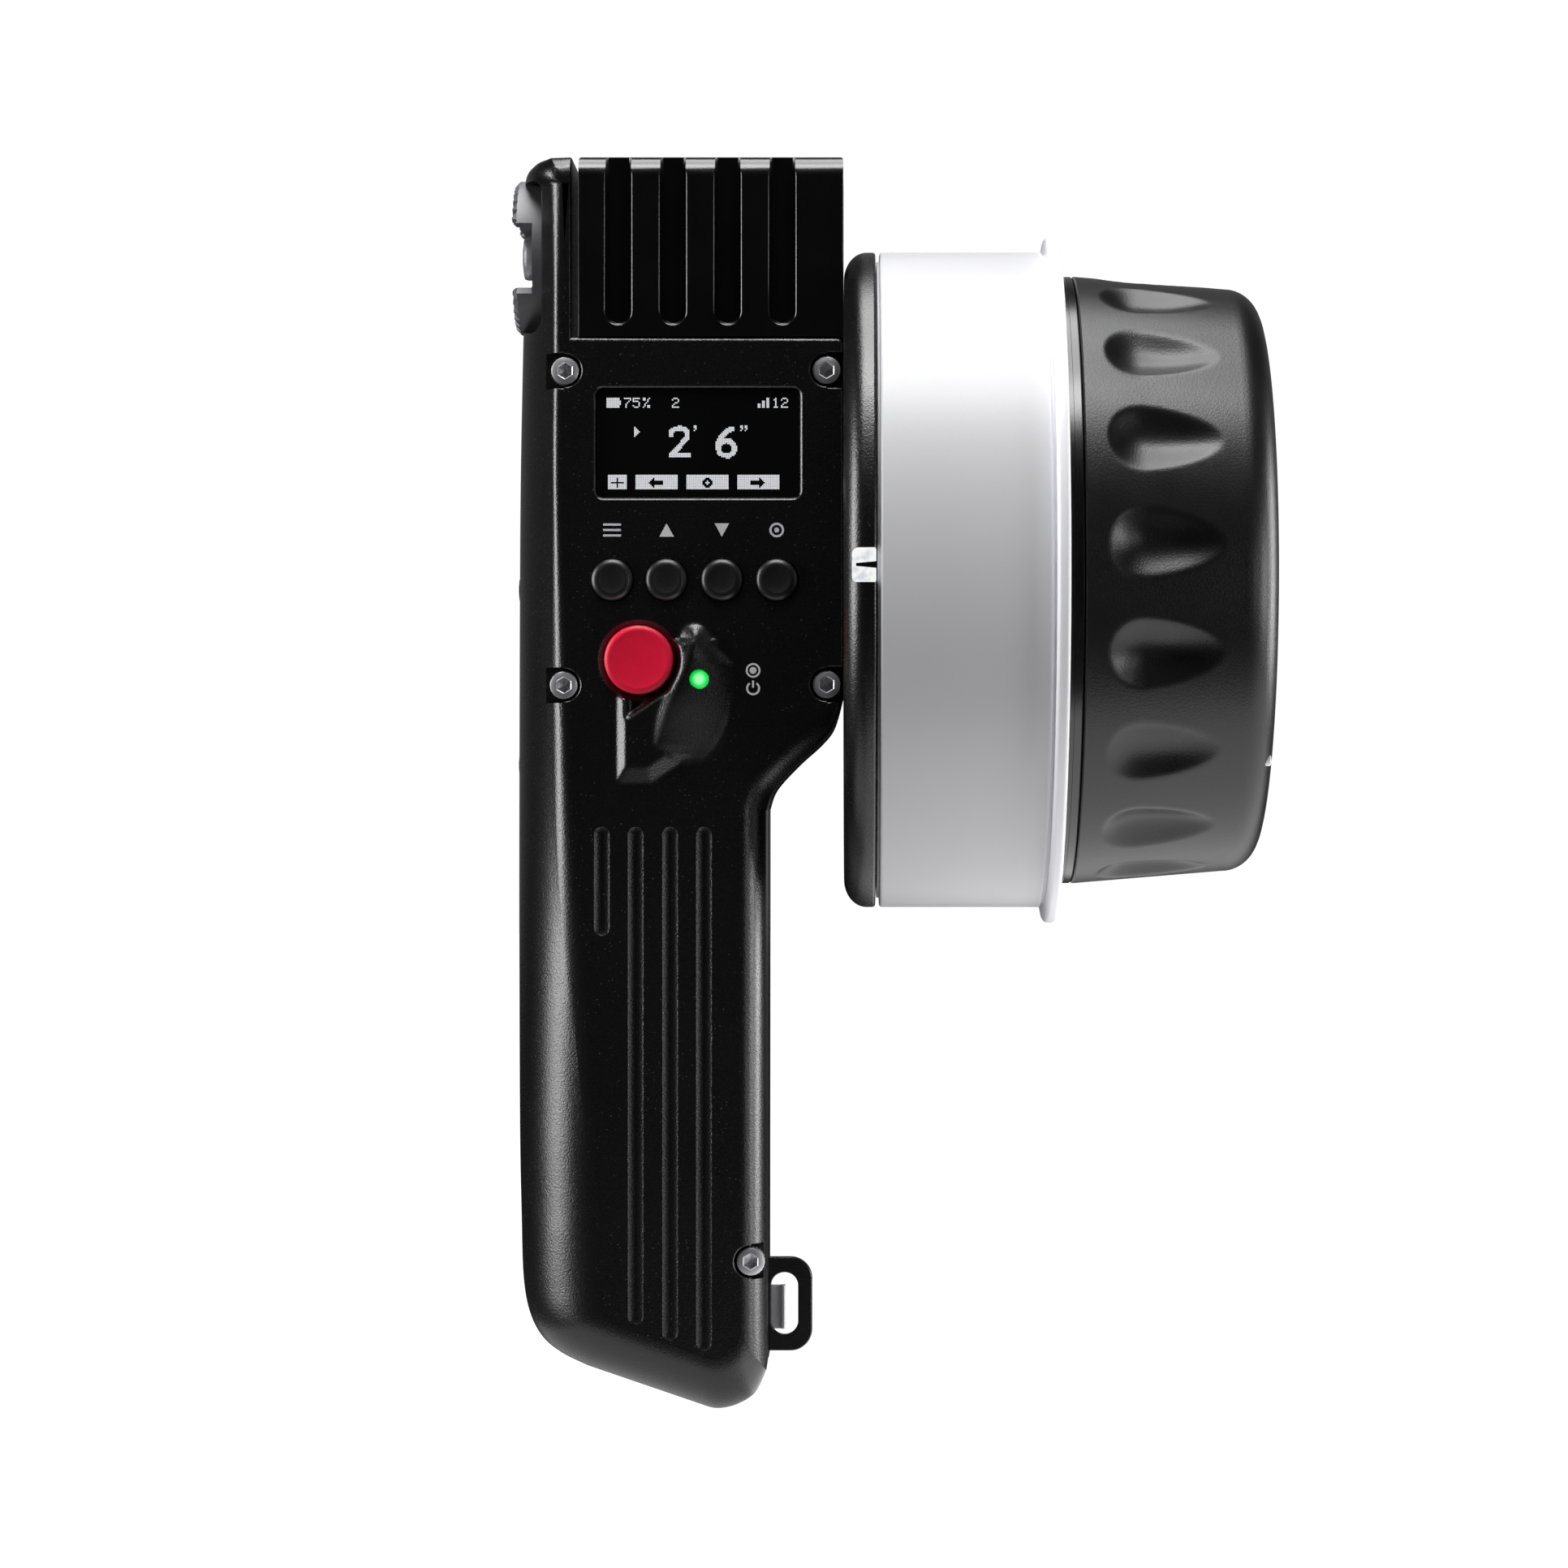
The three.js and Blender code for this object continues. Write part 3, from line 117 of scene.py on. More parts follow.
HEAD_EDGE = {
    "steps": 6,
    "side": [(HEAD_RIGHT, HEAD_TOP - 1), (31.9, HEAD_TOP - 0.3), (31.2, HEAD_TOP)],
    "face": [(31.7, HEAD_TOP - 1.2), (31.5, HEAD_TOP - 0.8), (31, HEAD_TOP - 0.6)],
    "bend": [0.5, 0.4],
    "crest": [0, 1],
}
HEAD_LID_LINE = {
    "steps": 2,
    "side": [(31.2, HEAD_TOP), (COLUMN_RIGHT, HEAD_TOP)],
    "face": [(31, HEAD_TOP - 0.6), (COLUMN_RIGHT - 0.3, HEAD_TOP - 0.6)],
    "bend": [0.4, 0.4],
    "crest": [1, 1],
}
COLUMN_SIDE = {
    "steps": 4,
    "side": [(COLUMN_RIGHT, HEAD_TOP), (COLUMN_RIGHT, COLUMN_TOP - 0.4)],
    "face": [(COLUMN_RIGHT - 0.3, HEAD_TOP - 0.6), (COLUMN_RIGHT - 0.3, COLUMN_TOP - 3.5)],
    "bend": [0.5, 3.2],
    "crest": [0, 0],
}
COLUMN_EDGE = {
    "steps": 6,
    "side": [(COLUMN_RIGHT, COLUMN_TOP - 0.4), (-10.55, COLUMN_TOP - 0.1), (-10.9, COLUMN_TOP)],
    "face": [(COLUMN_RIGHT - 0.3, COLUMN_TOP - 3.5), (-10.8, COLUMN_TOP - 3.45), (-10.95, COLUMN_TOP - 3.4)],
    "bend": [3.2, 3.4],
    "crest": [0, 0],
}
COLUMN_CROWN = {
    "steps": 4,
    "side": [(-10.9, COLUMN_TOP), (-13.9, COLUMN_TOP)],
    "face": [(-10.95, COLUMN_TOP - 3.4), (-12, COLUMN_TOP - 3.4)],
    "bend": [3.4, 4.4],
    "crest": [0, 0],
}
UPPER_LEFT = {
    "steps": 20,
    "side": [(-13.9, COLUMN_TOP), (-16.1, 148.6), (-17.6, 147.95), (-18.5, 146.9), (-18.8, 145.4),
             (-18.8, 143.5)],
    "face": [(-12, COLUMN_TOP - 3.4), (-12.4, 145), (-12.7, 144.8), (-12.85, 144.6), (-12.9, 144.2)],
    "bend": [4.4, 12, 15, 17],
    "crest": [0, 0.1, 0.4, 0.8],
}
LOWER_STRETCHES = [LEFT_SIDE, LOWER_LEFT, BOTTOM, LOWER_RIGHT, GRIP_SIDE, NECK]
OUTLINE = LOWER_STRETCHES + [HEAD_SIDE, HEAD_EDGE, HEAD_LID_LINE, COLUMN_SIDE, COLUMN_EDGE, COLUMN_CROWN,
                             UPPER_LEFT]
# The hollow follows the outline up to the head, and runs on past its top, where it is cut flat
HOLLOW_HEAD = {
    "steps": 2,
    "side": [(HEAD_RIGHT, 64.5), (HEAD_RIGHT, 145)],
    "face": [(31.7, 66.8), (31.7, 145)],
    "bend": [0.5, 0.5],
    "crest": [0, 0],
}
HOLLOW_ROOF = {
    "steps": 2,
    "side": [(HEAD_RIGHT, 145), (-18.6, 143.5)],
    "face": [(31.7, 145), (-12.9, 144.6)],
    "bend": [0.5, 17],
    "crest": [0, 1],
}
FLANK_STEPS = 14
CREST_POWER = 1.4
CREST_EASE = 0.9
FACE_BOW = 0.02

# Front face
DISPLAY = {"x0": -6.6, "x1": 25.5, "z0": 95, "z1": 112.3, "corner": 1.2, "sunk": 0.7, "thick": 1}
WINDOW_OPENING = {"x0": -5.4, "x1": 24.8, "z0": 96, "z1": 111.4}
SCREEN = {"left": -4.9, "top": 111.0, "pitch": 0.228, "dot": 0.196}
BUTTON_Z = 82.2
BUTTON_X = {"menu": -4.0, "up": 4.5, "down": 13.2, "set": 21.8}
BUTTON_HOLE = 3.42
RECORD_X = 0.2
RECORD_Z = 69.65
RECORD_HOLE = 5.52
RECORD_RECESS = {"radius": 5.95, "depth": 0.6, "ease": 0.35}
KEY = {"radius": 3.3, "proud": 0.9, "rim": 1.15}
RECORD_KEY = {"radius": 5.4, "proud": 1.5, "rim": 0.9}
FLANGE_FRONT = INSIDE_FRONT + 0.15
FLANGE_BACK = -15.9
LIGHT = {"x": 9.7, "z": 66.6, "radius": 1.45, "hole": 1.53, "tip": -20.66, "dome": 0.55, "foot": -13.0}
SIGN_Z = 90.0
RECORD_SIGN = (18.1, 68.0)
POWER_SIGN = (18.1, 65.2)
GRIP_GROOVE = {"width": 2.45, "slope": 28.0, "top": 43.5}
GRIP_GROOVES = [(-5.6, 26.4), (-0.3, -34.5), (5.1, -37.0), (10.4, -38.6)]
SHELL_SCREWS = [(-11.4, 115.0, -1), (29.6, 115.1, 1), (-11.6, 65.7, -1), (29.6, 65.8, 1), (17.7, -24.7, 1)]
POCKET = {"radius": 2.6, "half": 2.8, "floor": -15.8, "reach": 8.0}
SIDE_SCREWS = [81.4, 53.2]
SIDE_HOLE = {"head": 2.15, "seat": -18.5, "shank": 1.35, "end": -15.0}
CAP_SCREW = {"top": -18.7, "seat": -15.8, "head": 2.24, "socket": 1.06, "teeth": 24, "tip": -10.0,
             "shank": 1.2, "knurl": 0.09}
FLANK_SCREW = {"top": -20.0, "seat": -18.6, "head": 2.0, "socket": 0.8, "teeth": 20, "tip": -15.4,
               "shank": 1.2, "knurl": 0.09}
ROSETTE_BOLT = {"top": -19.3, "seat": -17.15, "head": 3.5, "socket": 1.7, "teeth": 30, "tip": -11.8,
                "shank": 2.4, "knurl": 0.0}

# Ground round the record button: a raised pad below and to the right of it, and a leaf given by its edges
# and its rise at each level.
# The pad ends along a slant below the button, along a cut-off corner, and a little past the leaf's ridge;
# a slope is the width over which it falls away there.
THUMB_PATCH = {"x0": -7.4, "x1": 15.8, "z0": 48.6, "z1": 76.4, "cell": 0.2, "foot": -16.6, "smoothing": 5}
PAD_HEIGHT = 1.2
PAD_LEFT = (-3.35, -1.8)
PAD_FOOT = (50.2, 52.9)
PAD_RIM = (6.15, 6.5)
PAD_TOP = 73.0
PAD_CORNER = ((2.3, 50.3), (7.15, 53.6))
PAD_SLANT = ((-1.46, 61.0), (5.0, 65.4))
PAD_SLOPES = {"corner": 2.6, "slant": 0.4, "leaf": 3.0}
PAD_PAST_RIDGE = 4.0
LEAF_HEIGHT = 2.0
LEAF_EDGE = 0.15
LEAF_LEVELS = [53.9, 54.8, 56.5, 59.5, 61.5, 64.2, 66.3, 68.8, 70.8, 72.2, 73.6, 74.6, 75.3]
LEAF_FOOT = [2.3, 2.3, 2.4, 2.7, 3.1, 4.1, 5.2, 6.2, 6.5, 6.5, 6.6, 7.0, 8.0]
LEAF_RIDGE = [3.3, 3.2, 3.4, 4.2, 4.8, 5.9, 6.8, 7.9, 8.5, 8.8, 9.0, 9.0, 8.8]
LEAF_RIGHT = [9.8, 10.8, 12.3, 13.8, 14.3, 14.8, 15.0, 15.0, 13.0, 12.0, 11.2, 10.5, 9.4]
LEAF_RISE = [0.1, 0.5, 0.8, 0.94, 1, 1, 1, 1, 0.98, 0.9, 0.66, 0.35, 0.0]

# Battery lid
LID = {"x0": -9.3, "x1": HEAD_RIGHT, "z0": HEAD_TOP + 0.15, "z1": COLUMN_TOP, "crown": 3.4, "edge": 0.6}
LID_HOLLOW = {"x0": -8.1, "x1": 31.0, "y": 14.8, "z1": 146.0}
RIB = {"groove": 4.0, "pitch": 8.58, "first": -5.05, "count": 4, "floor": 122.3, "depth": 2.8}
BAY = {"x0": -8.2, "x1": 31.05, "y0": -7.6, "y1": 15.0}
BATTERY_FLOOR = 86.2

# Knob: everything turns about an axis along X
KNOB_Z = 82.9
KNOB = (0.0, KNOB_Z)
BASE = {"x0": HEAD_RIGHT + 0.1, "x1": 37.3, "radius": 52.5}
INDEX = {"x0": 33.5, "x1": 37.3, "half": 2.6, "back": -47.5, "line": 0.62, "line_start": 34.2}
DRUM = {"x0": 39.0, "radius": 48.6, "lip_start": 67.2, "lip": 48.65, "x1": 68.5, "inner": 46.4}
CORE = {"end": 93.5, "neck": 43.4, "wall": 2.4, "hub": 12.0, "bore": 9.6, "hub_start": 44.0, "nut": 7.5,
        "stop": 84.0}
SEAL_BED = {"x0": 49.95, "x1": 52.05, "radius": 47.0}
RING_SEAL = {"x": 51.0, "centre": 48.05, "section": 0.9}
SLEEVE = {"x0": 68.7, "x1": 98.3, "start": 48.7, "shoulder": 46.7, "shoulder_x": 92.9, "corner": 5.3,
          "inner": 43.8, "foot": 93.9, "rim": 38.0}
DIMPLE = {"count": 18, "first": 4.3, "x0": 72.2, "widest": 78.0, "x1": 90.0, "half": 5.4, "depth": 1.9}
RING = {"x0": 37.45, "step": 37.9, "x1": 63.7, "groove": 64.2, "x2": 66.2, "bore": 49.05, "radius": 52.5,
        "flange": 55.0}
MARKER = {"y": -33.0, "z": 53.8, "radius": 0.85, "hole": 0.9, "tip": 97.9, "foot": 95.0}

# Rosette on the column, lanyard loop and strap clip on the grip
ROSETTE = {"z": 134.8, "radius": 12.3, "face": -20.4, "back": -14.4, "teeth": 40, "depth": 0.9, "bevel": 0.8,
           "foot": 7.6}
ROSETTE_SLOT = {"z0": 129.1, "z1": 139.1, "floor": -17.1}
ROSETTE_POCKET = [(-15.6, 121.2, 6.0), (12.6, 124.1, 3.0), (12.6, 147.3, 3.0), (-15.6, 145.4, 3.0)]
ROSETTE_POCKET_FLOOR = -15.45
LOOP = {"x0": 20.2, "x1": 27.2, "z0": -41.0, "z1": -25.9, "half": 0.8, "corner": 4.0}
LOOP_SLOT = {"x0": 20.6, "x1": 24.9, "z0": -38.4, "z1": -28.4}
CLIP = {"x0": 16.2, "x1": 22.8, "z0": -38.3, "z1": -31.2, "y0": 6.0, "y1": 6.9}
WALL_SLOT = {"x0": 15.0, "x1": 22.1, "half": 0.95, "top": -28.5, "room": 0.15}

# Pictures of dots, row by row: 1 is lit
DIGITS = {
    "1": "00100 01100 00100 00100 00100 00100 01110",
    "2": "01110 10001 00001 00110 01000 10000 11111",
    "5": "11111 10000 11110 00001 00001 10001 01110",
    "7": "11111 00001 00010 00100 01000 01000 01000",
}
# The large reading, as strokes between dots
LARGE_TWO = [(2, 6), (2.5, 3.5), (4.5, 2), (8, 1.5), (11.5, 2.3), (13.3, 4.5), (13, 7.5), (11, 10.3),
             (2.2, 20.2), (13.8, 20.2)]
LARGE_SIX = [(11.8, 2), (8, 3.6), (4.6, 7), (2.6, 11.5), (2.3, 15), (3.5, 18.4), (6, 20.2), (9.5, 20.4),
             (12.6, 18.6), (13.8, 15.6), (13, 12.4), (10.4, 10.4), (7, 10.2), (4, 11.8), (2.5, 14)]
PERCENT = "11001 11010 00010 00100 01000 01011 10011"
BATTERY_ICON = "1111111110 1111111110 1111111111 1111111111 1111111111 1111111110 1111111110"
SIGNAL_ICON = "000000011 000000011 000011011 000011011 011011011 011011011 011011011"
ARROW_ICON = "1000 1100 1110 1111 1110 1100 1000"
FOOT_MARK = "11 11 01 10"
INCH_MARK = "11011 11011 01001 10010"
# First column and row of each small picture
SMALL_SPRITES = [
    (0, 1, BATTERY_ICON), (12, 1, DIGITS["7"]), (18, 1, DIGITS["5"]), (25, 1, PERCENT), (45, 1, DIGITS["2"]),
    (103, 1, SIGNAL_ICON), (114, 1, DIGITS["1"]), (120, 1, DIGITS["2"]), (19, 21, ARROW_ICON),
    (60, 20, FOOT_MARK), (92, 20, INCH_MARK),
]
SOFT_KEY = {"row": 54, "height": 10, "symbol_row": 56}
SOFT_KEYS = [
    (1, 13, "000010000 000010000 000010000 111111111 000010000 000010000 000010000"),
    (20, 29, "0001000000 0011000000 0111111111 1111111111 0111111111 0011000000 0001000000"),
    (55, 29, "0011100 0111110 1110111 1100011 1110111 0111110 0011100"),
    (90, 29, "0000001000 0000001100 1111111110 1111111111 1111111110 0000001100 0000001000"),
]

# Camera and studio
CAMERA = {"place": (34.0, -693.0, 50.2), "lens": 98.76, "shift": -0.045}
FLOOR_Z = -112.0


# Curves and outlines

def mix(first, second, share):
    return first + (second - first) * share


def clamped(value, low=0.0, high=1.0):
    return max(low, min(high, value))


def eased(share):
    share = clamped(share)
    return share * share * (3 - 2 * share)


def along(values, share):
    """The value at a share of a list whose entries are spread evenly"""
    place = share * (len(values) - 1)
    i = min(int(place), len(values) - 2)
    return mix(values[i], values[i + 1], place - i)


def at_level(levels, values, level):
    """The value at a level, between the entries of two lists that belong together"""
    if level <= levels[0]:
        return values[0]
    for i in range(1, len(levels)):
        if level <= levels[i]:
            return mix(values[i - 1], values[i], (level - levels[i - 1]) / (levels[i] - levels[i - 1]))
    return values[-1]


def on_curve(points, share):
    """A point of the smooth curve through the points"""
    last = len(points) - 1
    place = last * share
    i = min(int(place), last - 1)
    t = place - i
    p0, p1, p2, p3 = (Vector(points[int(clamped(i + k, 0, last))]) for k in (-1, 0, 1, 2))
    v0, v1 = (p2 - p0) / 2, (p3 - p1) / 2
    return (2 * p1 - 2 * p2 + v0 + v1) * t ** 3 + (3 * p2 - 3 * p1 - 2 * v0 - v1) * t ** 2 + v0 * t + p1


def stations(stretches, share_of_steps=1.0):
    """Points round the outline: silhouette, edge of the face, depth of the bend and its sharpness"""
    found = []
    for stretch in stretches:
        face = stretch["face"]
        chord = (Vector(face[-1]) - Vector(face[0])).normalized()
        steps = max(1, round(stretch["steps"] * share_of_steps))
        for i in range(steps):
            share = i / steps
            bow = FACE_BOW * math.sin(math.pi * share)
            found.append({
                "side": on_curve(stretch["side"], share),
                "face": on_curve(face, share) + Vector((chord.y, -chord.x)) * bow,
                "bend": along(stretch["bend"], share),
                "crest": along(stretch["crest"], share),
            })
    return found


def grown(outline, distance):
    """An outline of two or more sides moved outwards, square to them"""
    if distance == 0:
        return outline
    following = outline[1:] + outline[:1]
    area = sum(a[0] * b[1] - b[0] * a[1] for a, b in zip(outline, following))
    outwards = distance if area > 0 else -distance
    moved = []
    for before, here, after in zip(outline[-1:] + outline[:-1], outline, following):
        first = (Vector(here) - Vector(before)).normalized()
        second = (Vector(after) - Vector(here)).normalized()
        run = (first + second).normalized()
        reach = outwards / max(0.5, run.dot(first))
        moved.append((here[0] + run.y * reach, here[1] - run.x * reach))
    return moved


def rounded(corners, closed=True, steps=6):
    """Corners of (u, v, radius) joined by straight lines and arcs"""
    made = []
    for i, (u, v, radius) in enumerate(corners):
        if radius == 0 or (not closed and i in (0, len(corners) - 1)):
            made.append((u, v))
            continue
        here = Vector((u, v))
        back = Vector(corners[i - 1][:2]) - here
        on = Vector(corners[(i + 1) % len(corners)][:2]) - here
        half = back.angle(on) / 2
        reach = min(radius / math.tan(half), 0.499 * back.length, 0.499 * on.length)
        back.normalize()
        on.normalize()
        centre = here + (back + on).normalized() * (reach / math.cos(half))
        arm = here + back * reach - centre
        sweep = arm.angle(here + on * reach - centre)
        turn = sweep if back.cross(on) < 0 else -sweep
        for k in range(steps + 1):
            angle = turn * k / steps
            made.append((centre.x + arm.x * math.cos(angle) - arm.y * math.sin(angle),
                         centre.y + arm.x * math.sin(angle) + arm.y * math.cos(angle)))
    return made


def rounded_rect(x0, x1, z0, z1, radius, steps=6):
    return rounded([(x0, z0, radius), (x1, z0, radius), (x1, z1, radius), (x0, z1, radius)], steps=steps)


def circle(x, z, radius, count=48):
    turns = [2 * math.pi * i / count for i in range(count)]
    return [(x + radius * math.cos(turn), z + radius * math.sin(turn)) for turn in turns]


# Meshes

def new_piece(name, points, faces):
    """An object from points in millimetres, with its faces turned outwards"""
    mesh = bpy.data.meshes.new(name)
    work = bmesh.new()
    corners = [work.verts.new(Vector(point) * MM) for point in points]
    for face in faces:
        work.faces.new([corners[i] for i in face])
    bmesh.ops.recalc_face_normals(work, faces=work.faces)
    work.to_mesh(mesh)
    work.free()
    piece = bpy.data.objects.new(name, mesh)
    bpy.context.scene.collection.objects.link(piece)
    return piece


def stack(name, rings, loop=False):
    """A skin over rings with equally many points; its ends are closed, or the last ring meets the first"""
    count = len(rings[0])
    faces = []
    for j in range(len(rings) if loop else len(rings) - 1):
        low = j * count
        high = (j + 1) % len(rings) * count
        for i in range(count):
            on = (i + 1) % count
            faces.append((low + i, low + on, high + on, high + i))
    points = [point for ring in rings for point in ring]
    if not loop:
        faces.append(tuple(range(count)))
        faces.append(tuple(range(len(points) - count, len(points))))
    return new_piece(name, points, faces)


def placed(axis, u, v, w):
    """A point drawn as (u, v) square to an axis, w along it"""
    return {"x": (w, u, v), "y": (u, w, v), "z": (u, v, w)}[axis]


def prism(name, outline, levels, axis="y"):
    """An outline carried along an axis; a level is a place on it and how far the outline has grown there"""
    rings = []
    for level, growth in levels:
        rings.append([placed(axis, u, v, level) for u, v in grown(outline, growth)])
    return stack(name, rings)


def turned(name, profile, axis, centre, count=96, loop=False):
    """A profile of (place on the axis, radius) turned about an axis"""
    rings = []
    for level, radius in profile:
        rings.append([placed(axis, u, v, level) for u, v in circle(*centre, radius, count)])
    return stack(name, rings, loop)


def spoke(profile, angle, z):
    """A profile of (place along X, radius) stood at one angle about an axis at height z"""
    return [(x, -radius * math.cos(angle), z + radius * math.sin(angle)) for x, radius in profile]


def block(name, x0, x1, y0, y1, z0, z1):
    return prism(name, [(x0, z0), (x1, z0), (x1, z1), (x0, z1)], [(y0, 0), (y1, 0)])


def worked(piece, tools, operation="DIFFERENCE"):
    """Cuts solids out of a piece, joins them to it or keeps what they share, and clears them away"""
    for tool in tools:
        step = piece.modifiers.new("work", "BOOLEAN")
        step.solver = "MANIFOLD"
        step.operation = operation
        step.object = tool
    bpy.context.view_layer.update()
    ready = piece.evaluated_get(bpy.context.evaluated_depsgraph_get())
    mesh = bpy.data.meshes.new_from_object(ready)
    piece.modifiers.clear()
    piece.data = mesh
    for tool in tools:
        bpy.data.objects.remove(tool)
    return piece


def joined(name, pieces):
    """Several meshes as one piece"""
    mesh = bpy.data.meshes.new(name)
    work = bmesh.new()
    for piece in pieces:
        work.from_mesh(piece.data)
        bpy.data.objects.remove(piece)
    work.to_mesh(mesh)
    work.free()
    made = bpy.data.objects.new(name, mesh)
    bpy.context.scene.collection.objects.link(made)
    return made


def dressed(piece, slot, body, nodes=(), crisp=32):
    """Gives a piece its finish, smooth shading with crisp edges, and the body that it rides on"""
    piece.data.materials.clear()
    piece.data.materials.append(FINISHES[slot])
    piece.data.shade_smooth()
    piece.data.set_sharp_from_angle(angle=math.radians(crisp))
    even = piece.modifiers.new("even_shading", "WEIGHTED_NORMAL")
    even.keep_sharp = True
    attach(piece, body)
    if nodes:
        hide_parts(*nodes)
    return piece


# Finishes

class Signal:
    """A socket of a finish; arithmetic on it adds Math nodes"""

    def __init__(self, finish, socket):
        self.finish = finish
        self.socket = socket

    def worked_out(self, operation, first, second):
        return self.finish.node("ShaderNodeMath", {"operation": operation}, {0: first, 1: second})

    def __add__(self, other):
        return self.worked_out("ADD", self, other)

    def __sub__(self, other):
        return self.worked_out("SUBTRACT", self, other)

    def __rsub__(self, other):
        return self.worked_out("SUBTRACT", other, self)

    def __mul__(self, other):
        return self.worked_out("MULTIPLY", self, other)

    def __pow__(self, other):
        return self.worked_out("POWER", self, other)

    __radd__ = __add__
    __rmul__ = __mul__


class Finish:
    """The node tree of a material or of the world"""

    def __init__(self, owner):
        owner.use_nodes = True
        self.owner = owner
        self.tree = owner.node_tree
        self.tree.nodes.clear()

    def node(self, kind, settings=None, values=None, output=0):
        """Adds a node, sets it, and fills its sockets with values or signals"""
        made = self.tree.nodes.new(kind)
        for name, value in (settings or {}).items():
            setattr(made, name, value)
        for key, value in (values or {}).items():
            if isinstance(value, Signal):
                self.tree.links.new(value.socket, made.inputs[key])
            else:
                made.inputs[key].default_value = value
        return Signal(self, made.outputs[output]) if made.outputs else None

    def place(self):
        """Where a point of the surface is, in metres"""
        return self.node("ShaderNodeTexCoord", output="Object")

    def noise(self, size, detail=2.0, rough=0.5, output="Fac"):
        """Soft random values from 0 to 1 whose grains are of a size in millimetres"""
        return self.node("ShaderNodeTexNoise", None, {
            "Vector": self.place(), "Scale": 1 / (size * MM), "Detail": detail, "Roughness": rough,
        }, output)

    def cells(self, size, feature="F1", output="Distance"):
        """Random cells of a size in millimetres"""
        return self.node("ShaderNodeTexVoronoi", {"feature": feature}, {
            "Vector": self.place(), "Scale": 1 / (size * MM),
        }, output)

    def ramp(self, value, low, high):
        """0 below low, 1 above high and smooth between them"""
        return self.node("ShaderNodeMapRange", {"interpolation_type": "SMOOTHSTEP"}, {
            "Value": value, "From Min": low, "From Max": high,
        })

    def blend(self, share, first, second):
        """One colour changing into another"""
        return self.node("ShaderNodeMix", {"data_type": "RGBA"}, {0: share, 6: first, 7: second}, 2)

    def surface(self, colour, roughness, height=None, depth=0.0, **sockets):
        """Ends the finish in a shader; height is a relief whose full depth is in millimetres"""
        values = {"Base Color": colour, "Roughness": roughness}
        values.update({key.replace("_", " "): value for key, value in sockets.items()})
        if height is not None:
            values["Normal"] = self.node("ShaderNodeBump", None, {
                "Strength": 1.0, "Distance": depth * MM, "Height": height,
            })
        shader = self.node("ShaderNodeBsdfPrincipled", None, values)
        self.node_out(shader)
        return self.owner

    def node_out(self, shader):
        self.node("ShaderNodeOutputMaterial", None, {"Surface": shader})


def material(name):
    return Finish(bpy.data.materials.new(name))


def grey(value):
    return (value, value, value * 1.04, 1.0)


def powder_coat():
    """Black powder coat: orange peel and a few pale flecks; a patch on the leaf beside the record button is
    painted paler as a painted sheen, and is made rougher there
    """
    finish = material("powder_coat")
    peel = finish.noise(0.30, 2.0, 0.6)
    crowded = finish.ramp(finish.noise(5.0, 3.0), 0.42, 0.62)
    flecks = finish.ramp(finish.cells(0.8), 0.13, 0.07) * crowded
    # Painted sheen: the coat is painted paler towards this point on the leaf, standing in for light that
    # falls there; the same patch is also rougher
    from_sheen_centre = finish.node("ShaderNodeVectorMath", {"operation": "DISTANCE"}, {
        0: finish.place(), 1: (8.5 * MM, -21.5 * MM, 59.0 * MM),
    }, "Value")
    painted_sheen = finish.ramp(from_sheen_centre, 7.0 * MM, 2.0 * MM)
    plain = finish.blend(painted_sheen, grey(0.0018), grey(0.012))
    colour = finish.blend(flecks, plain, grey(0.10))
    wear = finish.noise(14.0, 3.0)
    roughness = peel * 0.12 + wear * 0.05 + painted_sheen * 0.12 + 0.20
    return finish.surface(colour, roughness, peel, 0.05, Specular_IOR_Level=0.85)


def satin_plastic(name, value, roughness, grain_size=0.2):
    """Smooth moulded or anodised black"""
    finish = material(name)
    grain = finish.noise(grain_size, 2.0)
    smears = finish.noise(9.0, 4.0, 0.6)
    colour = finish.blend(smears, grey(value * 0.85), grey(value * 1.15))
    return finish.surface(colour, smears * 0.08 + roughness - 0.04, grain, 0.012, Specular_IOR_Level=0.8)


def red_plastic():
    finish = material("button_red")
    grain = finish.noise(0.16, 3.0, 0.6)
    mottle = finish.noise(1.6, 3.0)
    colour = finish.blend(mottle, (0.74, 0.005, 0.036, 1), (0.86, 0.008, 0.050, 1))
    return finish.surface(colour, grain * 0.1 + 0.34, grain, 0.03)


def soft_rubber():
    """Moulded rubber with a fine leather-like grain"""
    finish = material("soft_rubber")
    creases = finish.cells(0.62, "DISTANCE_TO_EDGE")
    pebbles = finish.ramp(creases, 0.0, 0.22)
    grain = finish.noise(0.18, 3.0, 0.6)
    dust = finish.noise(6.0, 4.0, 0.6)
    colour = finish.blend(dust, grey(0.0012), grey(0.0028))
    relief = pebbles * 0.4 + grain * 0.6
    return finish.surface(colour, dust * 0.08 + grain * 0.06 + 0.29, relief, 0.016, Specular_IOR_Level=0.6)


def display_glass():
    finish = material("display_glass")
    smears = finish.noise(5.0, 3.0)
    return finish.surface(grey(0.0035), smears * 0.04 + 0.10)


def acetal(name, value, cloud_size):
    """Milky white plastic; the thin flange is painted paler, a painted glow that stands in for light shining
    through it
    """
    finish = material(name)
    clouds = finish.noise(cloud_size, 3.0)
    along_knob = finish.node("ShaderNodeSeparateXYZ", None, {"Vector": finish.place()}, "X")
    # Painted glow: from the flange on along the knob the plastic is painted near white for light that shines
    # through the thin plastic
    flange_glow = finish.ramp(along_knob, (RING["groove"] - 1.2) * MM, RING["groove"] * MM)
    body = finish.blend(clouds, grey(value), grey(value * 0.96))
    colour = finish.blend(flange_glow, body, grey(0.92))
    turning = finish.noise(0.5, 2.0)
    return finish.surface(colour, clouds * 0.06 + 0.36, turning, 0.01)


